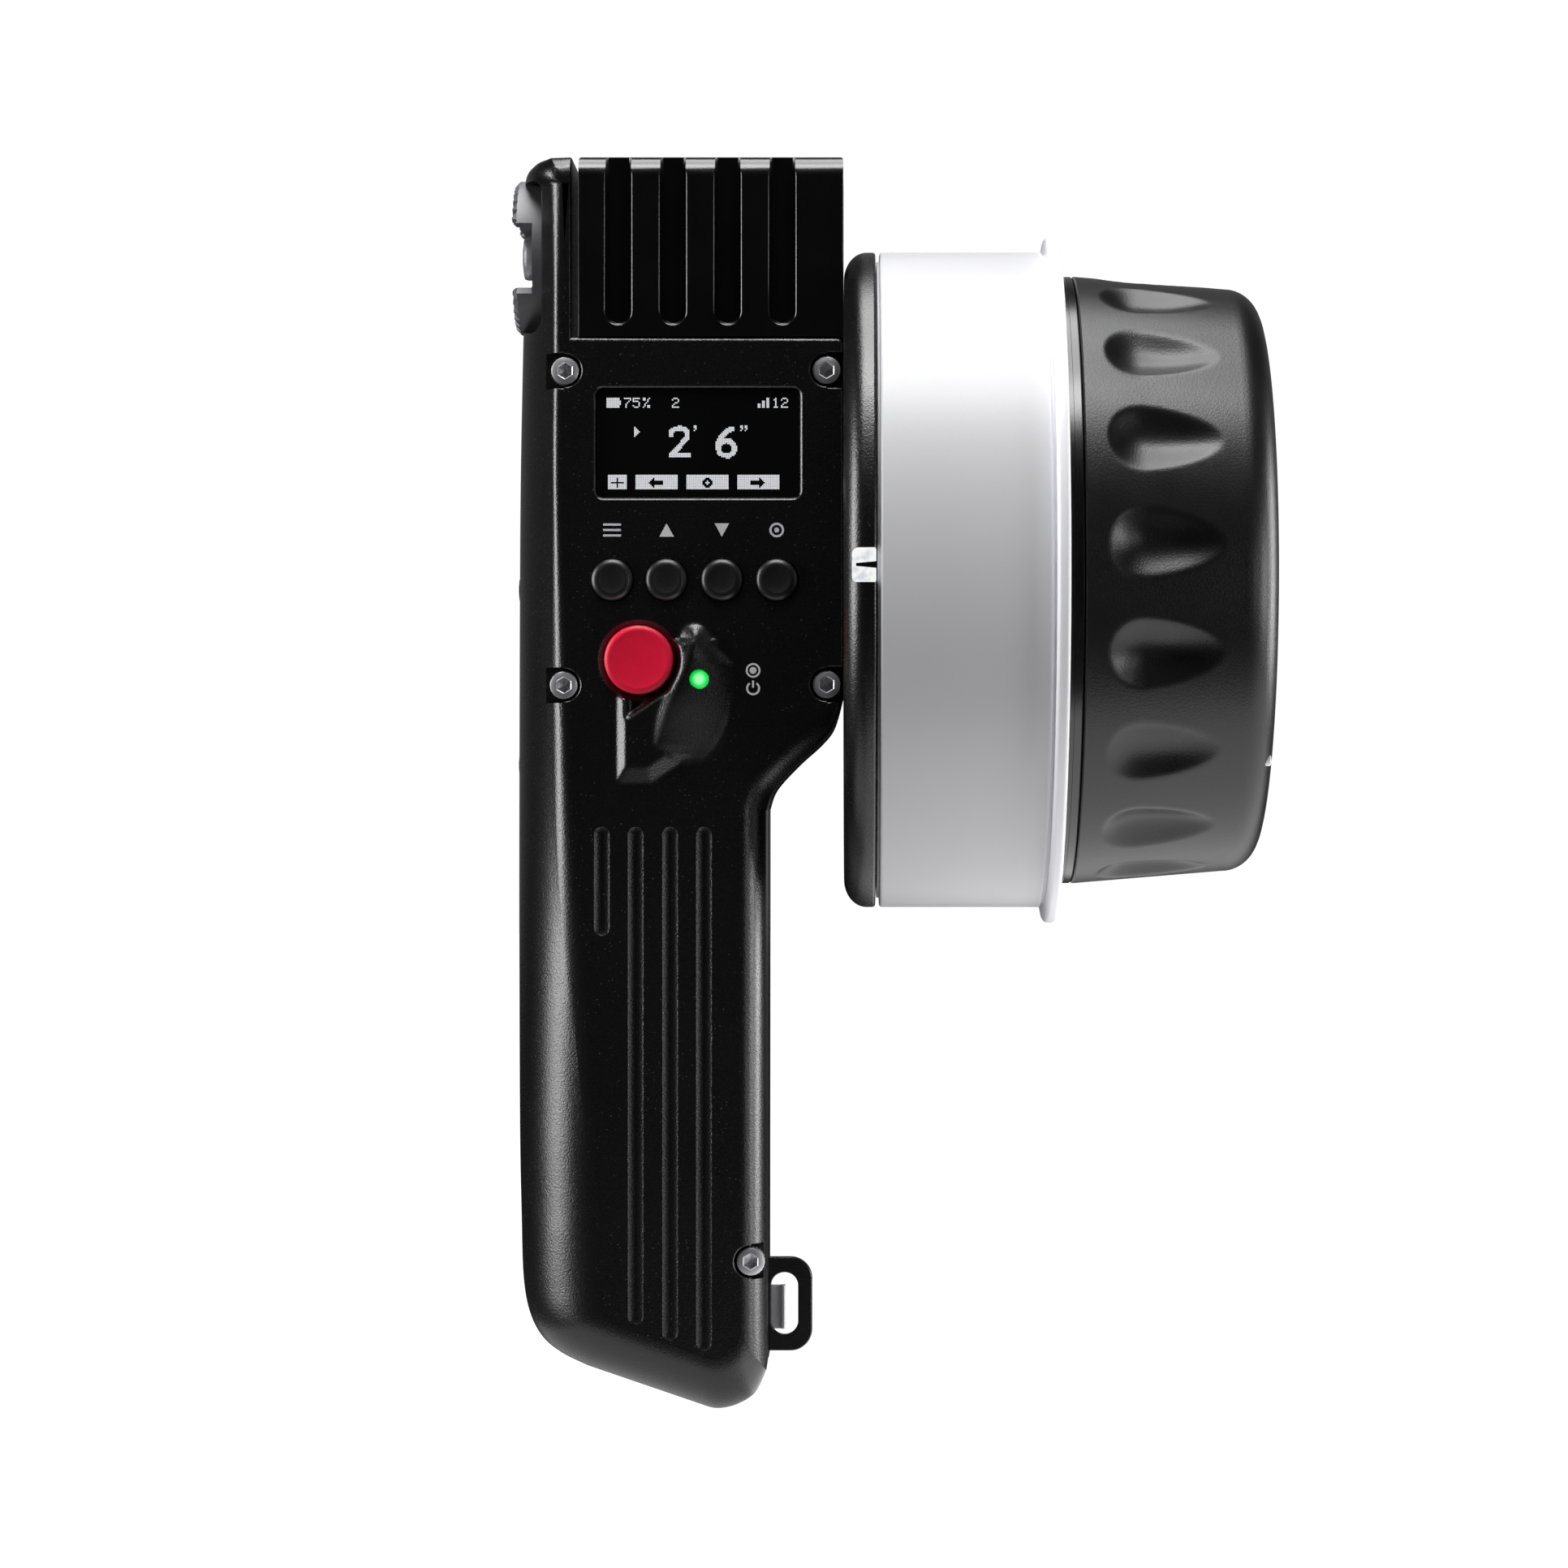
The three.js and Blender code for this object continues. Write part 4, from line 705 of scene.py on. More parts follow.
def lamp_green():
    """Status light: pale in the middle, deep green at its rim"""
    finish = material("status_green")
    middle = finish.node("ShaderNodeVectorMath", {"operation": "DISTANCE"}, {
        0: finish.place(), 1: (LIGHT["x"] * MM, -20.6 * MM, LIGHT["z"] * MM),
    }, "Value")
    rim = finish.ramp(middle, 0.3 * MM, 1.3 * MM)
    glow = finish.blend(rim, (0.36, 1.0, 0.48, 1), (0.0, 0.66, 0.06, 1))
    return finish.surface((0.01, 0.2, 0.04, 1), 0.25, Emission_Color=glow, Emission_Strength=1.0)


def lit_white():
    """Index window with a lamp behind it"""
    finish = material("window_white")
    patches = finish.ramp(finish.noise(1.3, 2.0), 0.3, 0.6)
    glow = finish.blend(patches, (0.66, 0.70, 0.74, 1), (1, 1, 1, 1))
    return finish.surface(grey(0.05), 0.2, Emission_Color=glow, Emission_Strength=0.9)


def dots_white():
    finish = material("display_dots")
    uneven = finish.noise(0.9, 2.0)
    glow = finish.blend(uneven, (0.66, 0.68, 0.72, 1), (0.80, 0.82, 0.85, 1))
    return finish.surface(grey(0.3), 0.4, Emission_Color=glow, Emission_Strength=0.8)


def print_white():
    """Printed symbols: thin grey-white ink"""
    finish = material("print_white")
    ink = finish.noise(0.18, 3.0, 0.6)
    return finish.surface(finish.blend(ink, grey(0.52), grey(0.80)), 0.45, ink, 0.01)


def metal(name, value, roughness, grain_size, depth, metallic=1.0):
    finish = material(name)
    grain = finish.noise(grain_size, 3.0, 0.6)
    stains = finish.noise(3.0, 3.0)
    colour = finish.blend(stains, grey(value * 0.9), grey(value))
    return finish.surface(colour, grain * 0.10 + roughness, grain, depth, Metallic=metallic)


def black_steel():
    finish = material("black_steel")
    grain = finish.noise(0.25, 2.0)
    colour = finish.blend(finish.noise(4.0, 3.0), grey(0.006), grey(0.012))
    return finish.surface(colour, grain * 0.1 + 0.2, grain, 0.02, Specular_IOR_Level=0.7)


def board_green():
    finish = material("board_green")
    weave = finish.cells(0.8)
    colour = finish.blend(weave, (0.010, 0.08, 0.03, 1), (0.014, 0.11, 0.04, 1))
    return finish.surface(colour, weave * 0.1 + 0.35)


FINISHES = {
    "powder_coat": powder_coat(),
    "black_plastic": satin_plastic("black_plastic", 0.002, 0.22),
    "button_black": satin_plastic("button_black", 0.006, 0.36),
    "button_red": red_plastic(),
    "soft_rubber": soft_rubber(),
    "display_glass": display_glass(),
    "status_green": lamp_green(),
    "window_white": lit_white(),
    "ring_white": acetal("ring_white", 0.65, 22.0),
    "board_green": board_green(),
    "switch_black": satin_plastic("switch_black", 0.02, 0.45),
    "rosette_metal": metal("rosette_metal", 0.22, 0.54, 0.3, 0.02),
    "screw_steel": metal("screw_steel", 0.74, 0.36, 0.4, 0.004),
    "black_steel": black_steel(),
    "bare_steel": metal("bare_steel", 0.60, 0.34, 0.3, 0.01, 0.4),
}


# Shells

def side_points(station, half, sign, grow):
    """Points from the silhouette at mid depth to the face, with an eased edge at the face"""
    side, face = station["side"], station["face"]
    inwards = (face - side).normalized()
    bend = min(station["bend"], half - 1)
    found = []
    for step in range(FLANK_STEPS + 1):
        share = step / FLANK_STEPS
        angle = share * math.pi / 2
        out = mix(math.sin(angle), share, station["crest"])
        inward = mix(1 - math.cos(angle), share ** CREST_POWER, station["crest"])
        spot = side.lerp(face, inward) - inwards * grow
        found.append(Vector((spot.x, sign * (half - bend * (1 - out)), spot.y)))
    ease = 0.05 + min(CREST_EASE * station["crest"] * (7 - 6 * station["crest"]), 0.3 * bend)
    corner = found.pop()
    start = corner + (found[-1] - corner).normalized() * ease
    while (found[-1] - corner).length < ease * 1.02:
        found.pop()
    missing = FLANK_STEPS - len(found)
    for k in range(missing):
        found.append(found[-1].lerp(start, 1 / (missing - k + 1)))
    end = corner + Vector((inwards.x, 0, inwards.y)) * ease
    for k in range(6):
        t = k / 5
        found.append(start * (1 - t) ** 2 + corner * 2 * t * (1 - t) + end * t ** 2)
    found.append(end + Vector((inwards.x, 0, inwards.y)) * 0.25)
    return found


def pebble(name, outline, half, grow=0.0):
    """A solid between two flat faces whose side curves from each face out to the silhouette"""
    front = [side_points(station, half, -1, grow) for station in outline]
    back = [side_points(station, half, 1, grow) for station in outline]
    rings = [[column[j] for column in front] for j in range(len(front[0]) - 1, -1, -1)]
    rings += [[column[j] for column in back] for j in range(len(back[0]))]
    return stack(name, rings)


def hollow(name):
    """Room inside the shells"""
    outline = stations(LOWER_STRETCHES + [HOLLOW_HEAD, HOLLOW_ROOF], 0.4)
    sides = grown([tuple(station["side"]) for station in outline], -WALL)
    faces = grown([tuple(station["face"]) for station in outline], -WALL / 2)
    for station, side, face in zip(outline, sides, faces):
        station["side"] = Vector(side)
        station["face"] = Vector(face)
    inner = pebble(name, outline, -FRONT - FACE_WALL)
    under_roof = block("under_roof", -FAR, FAR, -FAR, FAR, -FAR, CAVITY_TOP)
    return worked(inner, [under_roof], "INTERSECT")


def battery_bay():
    return block("battery_bay", BAY["x0"], BAY["x1"], BAY["y0"], BAY["y1"], BATTERY_FLOOR, HEAD_TOP + 1)


def sunk_shape(name, outline, depth, edge=0.2, floor_edge=0.0):
    """A tool that sinks an outline into the front face and eases its edge"""
    levels = [(FRONT - 2, edge), (FRONT, edge), (FRONT + 0.3 * edge, 0.5 * edge), (FRONT + edge, 0.0)]
    if floor_edge:
        levels.append((FRONT + depth - floor_edge, 0.0))
    levels.append((FRONT + depth, -floor_edge))
    return prism(name, outline, levels)


def screw_pocket(x, z, side):
    """Counterbore for a cap screw, open out through the side"""
    reach = POCKET["reach"] * side
    half = POCKET["half"]
    depth = POCKET["floor"] - FRONT
    round_part = sunk_shape("pocket", circle(x, z, POCKET["radius"]), depth, 0.18)
    left, right = min(x, x + reach), max(x, x + reach)
    outline = rounded_rect(left, right, z - half, z + half, 0.3)
    open_part = sunk_shape("pocket_side", outline, depth - 0.01, 0.15)
    return [round_part, open_part]


def grip_groove(x, bottom):
    """Groove with a shallow round floor and round ends"""
    half = GRIP_GROOVE["width"] / 2
    slope = math.radians(GRIP_GROOVE["slope"])
    radius = half / math.sin(slope)
    outline = rounded_rect(x - half, x + half, bottom, GRIP_GROOVE["top"], half * 0.99, 10)
    levels = [(FRONT - 1, 0.0)]
    for k in range(9):
        angle = slope * (1 - k / 9)
        levels.append((FRONT + radius * (math.cos(angle) - math.cos(slope)), radius * math.sin(angle) - half))
    return prism("grip_groove", outline, levels)


def beside_line(line, x, z):
    """How far a point lies to the left of a line through two points"""
    (x0, z0), (x1, z1) = line
    return ((x1 - x0) * (z - z0) - (z1 - z0) * (x - x0)) / math.hypot(x1 - x0, z1 - z0)


def thumb_height(x, z):
    """Height over the face round the record button: recess, raised pad and leaf"""
    from_button = math.hypot(x - RECORD_X, z - RECORD_Z)
    recess = RECORD_RECESS
    ground = -recess["depth"] * eased((recess["radius"] - from_button) / recess["ease"] + 0.5)
    ridge = at_level(LEAF_LEVELS, LEAF_RIDGE, z)
    below_slant = max(-beside_line(PAD_SLANT, x, z), PAD_SLANT[0][0] - x, x - PAD_SLANT[1][0])
    pad = PAD_HEIGHT * clamped(min(
        (x - PAD_LEFT[0]) / (PAD_LEFT[1] - PAD_LEFT[0]),
        (z - PAD_FOOT[0]) / (PAD_FOOT[1] - PAD_FOOT[0]),
        (from_button - PAD_RIM[0]) / (PAD_RIM[1] - PAD_RIM[0]),
        PAD_TOP - z,
        beside_line(PAD_CORNER, x, z) / PAD_SLOPES["corner"],
        below_slant / PAD_SLOPES["slant"],
        (ridge + PAD_PAST_RIDGE - x) / PAD_SLOPES["leaf"],
    ))
    if pad > 0:
        ground = pad
    foot = at_level(LEAF_LEVELS, LEAF_FOOT, z)
    right = at_level(LEAF_LEVELS, LEAF_RIGHT, z)
    rise = LEAF_HEIGHT * at_level(LEAF_LEVELS, LEAF_RISE, z)
    if z < LEAF_LEVELS[0]:
        rise *= clamped((z - LEAF_LEVELS[0]) / 0.7 + 1)
    if x <= foot or rise <= ground:
        return ground
    if x < ridge:
        climb = (x - foot) / (ridge - foot)
        return mix(ground, rise, climb ** 0.85)
    fall = clamped((x - ridge) / (right - ridge))
    slope = mix(rise, min(LEAF_EDGE, rise), fall ** 1.3)
    return max(ground, slope * clamped((right - x) / 0.5 + 0.5))


def smoothed(heights):
    """Each height drawn towards its four neighbours; the border stays"""
    softer = [row[:] for row in heights]
    for j in range(1, len(heights) - 1):
        for i in range(1, len(heights[0]) - 1):
            level = 2 * heights[j][i] + heights[j][i - 1] + heights[j][i + 1]
            softer[j][i] = (level + heights[j - 1][i] + heights[j + 1][i]) / 6
    return softer


def thumb_patch():
    """Block whose front is the ground round the record button"""
    patch = THUMB_PATCH
    columns = round((patch["x1"] - patch["x0"]) / patch["cell"])
    rows = round((patch["z1"] - patch["z0"]) / patch["cell"])
    xs = [mix(patch["x0"], patch["x1"], i / columns) for i in range(columns + 1)]
    zs = [mix(patch["z0"], patch["z1"], j / rows) for j in range(rows + 1)]
    heights = [[thumb_height(x, z) for x in xs] for z in zs]
    for _ in range(patch["smoothing"]):
        heights = smoothed(heights)
    width = columns + 1
    points = [(x, FRONT - heights[j][i] + 0.004, z) for j, z in enumerate(zs) for i, x in enumerate(xs)]
    back = len(points)
    points += [(x, patch["foot"], z) for z in zs for x in xs]
    faces = []
    for j in range(rows):
        for i in range(columns):
            a = j * width + i
            faces.append((a, a + 1, a + width + 1, a + width))
            faces.append((back + a, back + a + width, back + a + width + 1, back + a + 1))
    for i in range(columns):
        low, high = i, rows * width + i
        faces.append((low, back + low, back + low + 1, low + 1))
        faces.append((high, high + 1, back + high + 1, back + high))
    for j in range(rows):
        left, right = j * width, j * width + columns
        faces.append((left, left + width, back + left + width, back + left))
        faces.append((right, back + right, back + right + width, right + width))
    return new_piece("thumb_patch", points, faces)


def side_hole(name, z):
    hole = SIDE_HOLE
    profile = [(-FAR, hole["head"]), (hole["seat"], hole["head"]), (hole["seat"], hole["shank"]),
               (hole["end"], hole["shank"])]
    return turned(name, profile, "x", (0.0, z), 32)


def shell_blank(name, grow=0.0):
    """Both shells before they are parted, with the holes that they share"""
    blank = pebble(name, stations(OUTLINE), -FRONT, grow)
    bed_radius = ROSETTE["radius"] + 0.2
    rosette_bed = turned("rosette_bed", [(-FAR, bed_radius), (ROSETTE["back"], bed_radius)], "x",
                         (0.0, ROSETTE["z"]), 96)
    pocket_levels = [(-FAR, 0.0), (ROSETTE_POCKET_FLOOR, 0.0)]
    rosette_pocket = prism("rosette_pocket", rounded(ROSETTE_POCKET), pocket_levels, "x")
    slot = WALL_SLOT
    room = slot["room"]
    loop_slot = block("loop_slot", slot["x0"], slot["x1"], -slot["half"], slot["half"], LOOP["z0"] - room,
                      slot["top"])
    clip_slot = block("clip_slot", slot["x0"], slot["x1"], CLIP["y0"] - room, CLIP["y1"] + room,
                      CLIP["z0"] - room, CLIP["z1"] + room)
    return worked(blank, [hollow("hollow"), battery_bay(), rosette_pocket, rosette_bed, loop_slot, clip_slot]
                  + [side_hole("side_hole", z) for z in SIDE_SCREWS])


def front_shell():
    shell = shell_blank("front_housing")
    worked(shell, [block("front_half", -FAR, FAR, -FAR, SEAM - SEAM_GAP / 2, -FAR, FAR)], "INTERSECT")
    patch = THUMB_PATCH
    pocket = block("patch_pocket", patch["x0"] + 0.02, patch["x1"] - 0.02, FRONT - 5, FRONT + 1.2,
                   patch["z0"] + 0.02, patch["z1"] - 0.02)
    worked(shell, [pocket])
    worked(shell, [thumb_patch()], "UNION")
    display = DISPLAY
    recess = rounded_rect(display["x0"], display["x1"], display["z0"], display["z1"], display["corner"])
    window = WINDOW_OPENING
    tools = [
        sunk_shape("display_recess", recess, display["sunk"] + display["thick"] + 0.1, 0.3),
        block("display_opening", window["x0"], window["x1"], FRONT, INSIDE_FRONT + 1, window["z0"],
              window["z1"]),
        turned("record_hole", [(FRONT - 3, RECORD_HOLE), (INSIDE_FRONT + 1, RECORD_HOLE)], "y",
               (RECORD_X, RECORD_Z)),
        turned("light_hole", [(FRONT - 4, LIGHT["hole"]), (INSIDE_FRONT + 1, LIGHT["hole"])], "y",
               (LIGHT["x"], LIGHT["z"]), 48),
    ]
    for x in BUTTON_X.values():
        tools.append(sunk_shape("button_hole", circle(x, BUTTON_Z, BUTTON_HOLE, 64), FACE_WALL + 1, 0.12))
    for x, z, side in SHELL_SCREWS:
        tools += screw_pocket(x, z, side)
    tools += [grip_groove(x, bottom) for x, bottom in GRIP_GROOVES]
    worked(shell, tools)
    dressed(shell, "powder_coat", "handset", ["front_shell"], 26)


def rear_shell():
    shell = shell_blank("rear_housing", REAR_PROUD)
    worked(shell, [block("rear_half", -FAR, FAR, SEAM + SEAM_GAP / 2, FAR, -FAR, FAR)], "INTERSECT")
    dressed(shell, "powder_coat", "handset", ["rear_shell"], 26)


# Fasteners and buttons

def socket_screw(name, slot, node, axis, centre, top, seat, head, socket, teeth, tip, shank, knurl):
    """Cap screw with a knurled head and a six-sided socket; seat lies inwards from the top"""
    count = 12 * teeth // 2
    inwards = 1 if seat > top else -1

    def ring(depth, radius_at):
        turns = [2 * math.pi * i / count for i in range(count)]
        level = top + inwards * depth
        u, v = centre
        return [placed(axis, u + radius_at(t) * math.cos(t), v + radius_at(t) * math.sin(t), level)
                for t in turns]

    def hexagon(t):
        return socket / math.cos((t + math.pi / 6) % (math.pi / 3) - math.pi / 6)

    def knurled(t):
        return head - knurl * (0.5 + 0.5 * math.cos(t * teeth))

    height = abs(seat - top)
    edge = 0.13 * head
    rings = [
        ring(0.62 * height, lambda t: 0.12),
        ring(0.50 * height, lambda t: 0.9 * hexagon(t)),
        ring(0.49 * height, hexagon),
        ring(0.06 * head, hexagon),
        ring(0.0, lambda t: hexagon(t) + 0.07 * head),
        ring(0.04 * head, lambda t: head - edge),
        ring(0.04 * head + 0.3 * edge, lambda t: head - 0.35 * edge),
        ring(0.04 * head + edge, lambda t: head - 0.06),
        ring(0.04 * head + edge + 0.12, knurled),
        ring(height - 0.03, knurled),
        ring(height - 0.03, lambda t: shank),
        ring(abs(tip - top), lambda t: shank),
    ]
    dressed(stack(name, rings), slot, "handset", [node], 28)


def screws():
    for i, (x, z, _) in enumerate(SHELL_SCREWS, 1):
        socket_screw(f"cap_screw_{i}", "screw_steel", f"shell_screw_{i}", "y", (x, z), **CAP_SCREW)
    for i, z in enumerate(SIDE_SCREWS, 1):
        socket_screw(f"flank_screw_{i}", "black_steel", f"side_screw_{i}", "x", (0.0, z), **FLANK_SCREW)


def round_button(key, slot, x, z, radius, proud, rim):
    """Button with a rounded rim and a slightly dished top"""
    top = FRONT - proud
    profile = [(top + 0.18, 0.2), (top + 0.16, 0.45 * (radius - rim)), (top + 0.10, 0.8 * (radius - rim)),
               (top + 0.03, radius - rim - 0.15)]
    for k in range(9):
        angle = k / 8 * math.pi / 2
        profile.append((top + 0.8 * rim * (1 - math.cos(angle)), radius - rim + rim * math.sin(angle)))
    profile += [(FLANGE_FRONT, radius), (FLANGE_FRONT, radius + 0.5), (FLANGE_BACK, radius + 0.5)]
    dressed(turned(f"{key}_key_cap", profile, "y", (x, z), 72), slot, f"{key}_button", [f"{key}_button"], 50)


def buttons():
    for key, x in BUTTON_X.items():
        round_button(key, "button_black", x, BUTTON_Z, **KEY)
    round_button("record", "button_red", RECORD_X, RECORD_Z, **RECORD_KEY)


def status_light():
    radius, tip = LIGHT["radius"], LIGHT["tip"]
    profile = [(tip, 0.05)]
    for k in range(1, 9):
        angle = k / 8 * math.pi / 2
        profile.append((tip + LIGHT["dome"] * (1 - math.cos(angle)), radius * math.sin(angle)))
    profile.append((LIGHT["foot"], radius))
    dressed(turned("status_lamp", profile, "y", (LIGHT["x"], LIGHT["z"]), 48), "status_green", "handset",
            ["status_light_pipe"], 60)


# Display and printed symbols

def sprite_dots(column, row, sprite):
    """Lit dots of a sprite whose rows are words of 0 and 1"""
    rows = enumerate(sprite.split())
    return {(column + i, row + j) for j, word in rows for i, mark in enumerate(word) if mark == "1"}


def stroke_dots(column, row, path, half=1.7):
    """Lit dots along a thick line through the points"""
    dots = set()
    for start, end in zip(path, path[1:]):
        start, end = Vector(start), Vector(end)
        run = end - start
        for i in range(18):
            for j in range(23):
                share = clamped((Vector((i, j)) - start).dot(run) / run.length_squared)
                if (start + run * share - Vector((i, j))).length < half:
                    dots.add((column + i, row + j))
    return dots


def screen_dots():
    """Everything that is lit on the screen: battery, signal, a large reading and four key labels"""
    lit = stroke_dots(42, 20, LARGE_TWO) | stroke_dots(74, 20, LARGE_SIX)
    for column, row, sprite in SMALL_SPRITES:
        lit |= sprite_dots(column, row, sprite)
    for column, width, symbol in SOFT_KEYS:
        key = {(column + i, SOFT_KEY["row"] + j) for i in range(width) for j in range(SOFT_KEY["height"])}
        size = len(symbol.split()[0])
        lit |= key - sprite_dots(column + (width - size) // 2, SOFT_KEY["symbol_row"], symbol)
    return lit


def display():
    shape = rounded_rect(DISPLAY["x0"] + 0.1, DISPLAY["x1"] - 0.1, DISPLAY["z0"] + 0.1, DISPLAY["z1"] - 0.1,
                         DISPLAY["corner"] - 0.1)
    front = FRONT + DISPLAY["sunk"]
    levels = [(front, -0.12), (front + 0.12, 0.0), (front + DISPLAY["thick"], 0.0)]
    pane = prism("display_pane", shape, levels)
    dressed(pane, "display_glass", "handset", ["display_window"])
    points, faces = [], []
    for column, row in sorted(screen_dots()):
        x0 = SCREEN["left"] + column * SCREEN["pitch"]
        z1 = SCREEN["top"] - row * SCREEN["pitch"]
        x1, z0 = x0 + SCREEN["dot"], z1 - SCREEN["dot"]
        first = len(points)
        for y in (front - 0.02, front + 0.02):
            points += [(x0, y, z0), (x1, y, z0), (x1, y, z1), (x0, y, z1)]
        faces += [(first, first + 1, first + 2, first + 3), (first + 7, first + 6, first + 5, first + 4)]
        for k in range(4):
            on = (k + 1) % 4
            faces.append((first + k, first + 4 + k, first + 4 + on, first + on))
    dots = new_piece("display_dots", points, faces)
    dressed(dots, "display_glass", "handset")
    dots.data.materials[0] = dots_white()


def ring_mark(name, x, z, outer, inner, levels, gap=0.0):
    """Flat ring, or most of a ring, printed on the face"""
    turns = [math.pi / 2 + gap + (2 * math.pi - 2 * gap) * k / 40 for k in range(41)]
    outline = [(x + outer * math.cos(t), z + outer * math.sin(t)) for t in turns]
    outline += [(x + inner * math.cos(t), z + inner * math.sin(t)) for t in reversed(turns)]
    return prism(name, outline, levels)


def printed_symbols():
    """Signs over the four keys, and the record and power signs beside the status light"""
    top, foot = FRONT - 0.015, FRONT + 0.02
    levels = [(top, 0.0), (foot, 0.0)]
    marks = []
    for k in (-1, 0, 1):
        z = SIGN_Z + 0.85 * k
        marks.append(block("menu_bar", -5.4, -2.6, top, foot, z - 0.17, z + 0.17))
    marks.append(prism("up_mark", [(3.4, 88.95), (5.7, 88.95), (4.55, 91.05)], levels))
    marks.append(prism("down_mark", [(12.05, 91.05), (14.35, 91.05), (13.2, 88.95)], levels))
    marks.append(ring_mark("set_ring", BUTTON_X["set"], SIGN_Z, 1.15, 0.8, levels, 0.001))
    marks.append(prism("set_dot", circle(BUTTON_X["set"], SIGN_Z, 0.4, 32), levels))
    marks.append(ring_mark("record_ring", *RECORD_SIGN, 1.15, 0.85, levels, 0.001))
    marks.append(prism("record_dot", circle(*RECORD_SIGN, 0.55, 32), levels))
    marks.append(ring_mark("power_ring", *POWER_SIGN, 1.1, 0.78, levels, 0.6))
    marks.append(block("power_bar", 17.94, 18.26, top, foot, 65.3, 66.4))
    symbols = joined("face_symbols", marks)
    dressed(symbols, "powder_coat", "handset")
    symbols.data.materials[0] = print_white()


# Battery lid

def battery_lid():
    x0, x1, z0, z1 = LID["x0"], LID["x1"], LID["z0"], LID["z1"]
    crown, edge = LID["crown"], LID["edge"]
    side_view = rounded([(FRONT, z0, 0), (BACK, z0, 0), (BACK, z1, crown), (FRONT, z1, crown)], steps=10)
    front_view = rounded([(x0, z0, 0), (x1, z0, 0), (x1, z1, edge), (x0, z1, edge)])
    plan = rounded_rect(x0, x1, FRONT, BACK, 0.12)
    lid = prism("ribbed_lid", side_view, [(x0, 0.0), (x1, 0.0)], "x")
    worked(lid, [prism("front_view", front_view, [(FRONT - 1, 0.0), (BACK + 1, 0.0)]),
                 prism("plan", plan, [(z0 - 1, 0.0), (z1 + 1, 0.0)], "z")], "INTERSECT")
    room = LID_HOLLOW
    tools = [block("lid_hollow", room["x0"], room["x1"], -room["y"], room["y"], z0 - 1, room["z1"])]
    half = RIB["groove"] / 2
    for i in range(RIB["count"]):
        left = RIB["first"] + i * RIB["pitch"]
        outline = rounded([(left, RIB["floor"], half * 0.99), (left + 2 * half, RIB["floor"], half * 0.99),
                           (left + 2 * half, z1 + 5, 0), (left, z1 + 5, 0)], steps=12)
        for face, inwards in ((FRONT, 1), (BACK, -1)):
            levels = [(face - inwards, 0.22), (face, 0.22), (face + 0.07 * inwards, 0.1),
                      (face + 0.22 * inwards, 0.0), (face + (RIB["depth"] - 0.4) * inwards, 0.0),
                      (face + RIB["depth"] * inwards, -0.4)]
            tools.append(prism("rib_groove", outline, levels))
    worked(lid, tools)
    dressed(lid, "black_plastic", "battery_lid", ["battery_lid"], 30)


# Knob

def knob_base():
    x0, x1, radius = BASE["x0"], BASE["x1"], BASE["radius"]
    profile = [(x0, 20.0)]
    for k in range(17):
        angle = k / 16 * math.pi / 2
        profile.append((x0 + 3.6 * (1 - math.cos(angle)), radius - 4.4 + 4.4 * math.sin(angle)))
    profile += rounded([(x1 - 1, radius, 0), (x1, radius, 0.45), (x1, radius - 2, 0)], False)
    profile.append((x1, 20.0))
    base = turned("knob_foot", profile, "x", KNOB, 288)
    outline = rounded([(INDEX["x0"], KNOB_Z - INDEX["half"], 0.9), (x1 + 3, KNOB_Z - INDEX["half"], 0),
                       (x1 + 3, KNOB_Z + INDEX["half"], 0), (INDEX["x0"], KNOB_Z + INDEX["half"], 0.9)])
    notch = prism("index_notch", outline, [(-radius - 1, 0.0), (INDEX["back"], 0.0)])
    worked(base, [notch])
    dressed(base, "powder_coat", "handset", ["knob_base"], 30)


def index_window():
    """Lit window with a dark line let into it, wider towards the marking ring"""
    half = INDEX["half"] - 0.1
    front = -BASE["radius"]
    left, right = INDEX["x0"] + 0.1, INDEX["x1"] - 0.06
    outline = rounded([(left, KNOB_Z - half, 0.9), (right, KNOB_Z - half, 0.3), (right, KNOB_Z + half, 0.3),
                       (left, KNOB_Z + half, 0.9)])
    window = prism("index_lens", outline, [(front + 0.02, -0.15), (front + 0.1, -0.05), (front + 0.3, 0.0),
                                           (INDEX["back"] - 0.1, 0.0)])
    start, wide = INDEX["line_start"], INDEX["line"]
    cut = [(start, KNOB_Z - 0.24), (right + 1, KNOB_Z - wide), (right + 1, KNOB_Z + wide),
           (start, KNOB_Z + 0.24)]
    worked(window, [prism("line_cut", cut, [(front - 1, 0.0), (front + 0.6, 0.0)])])
    dressed(window, "window_white", "handset", ["index_window"], 60)
    shape = [(start + 0.02, KNOB_Z - 0.22), (right, KNOB_Z - wide + 0.12), (right, KNOB_Z + wide - 0.12),
             (start + 0.02, KNOB_Z + 0.22)]
    bar = prism("index_line", shape, [(front + 0.1, 0.0), (front + 0.58, 0.0)])
    dressed(bar, "black_plastic", "handset")


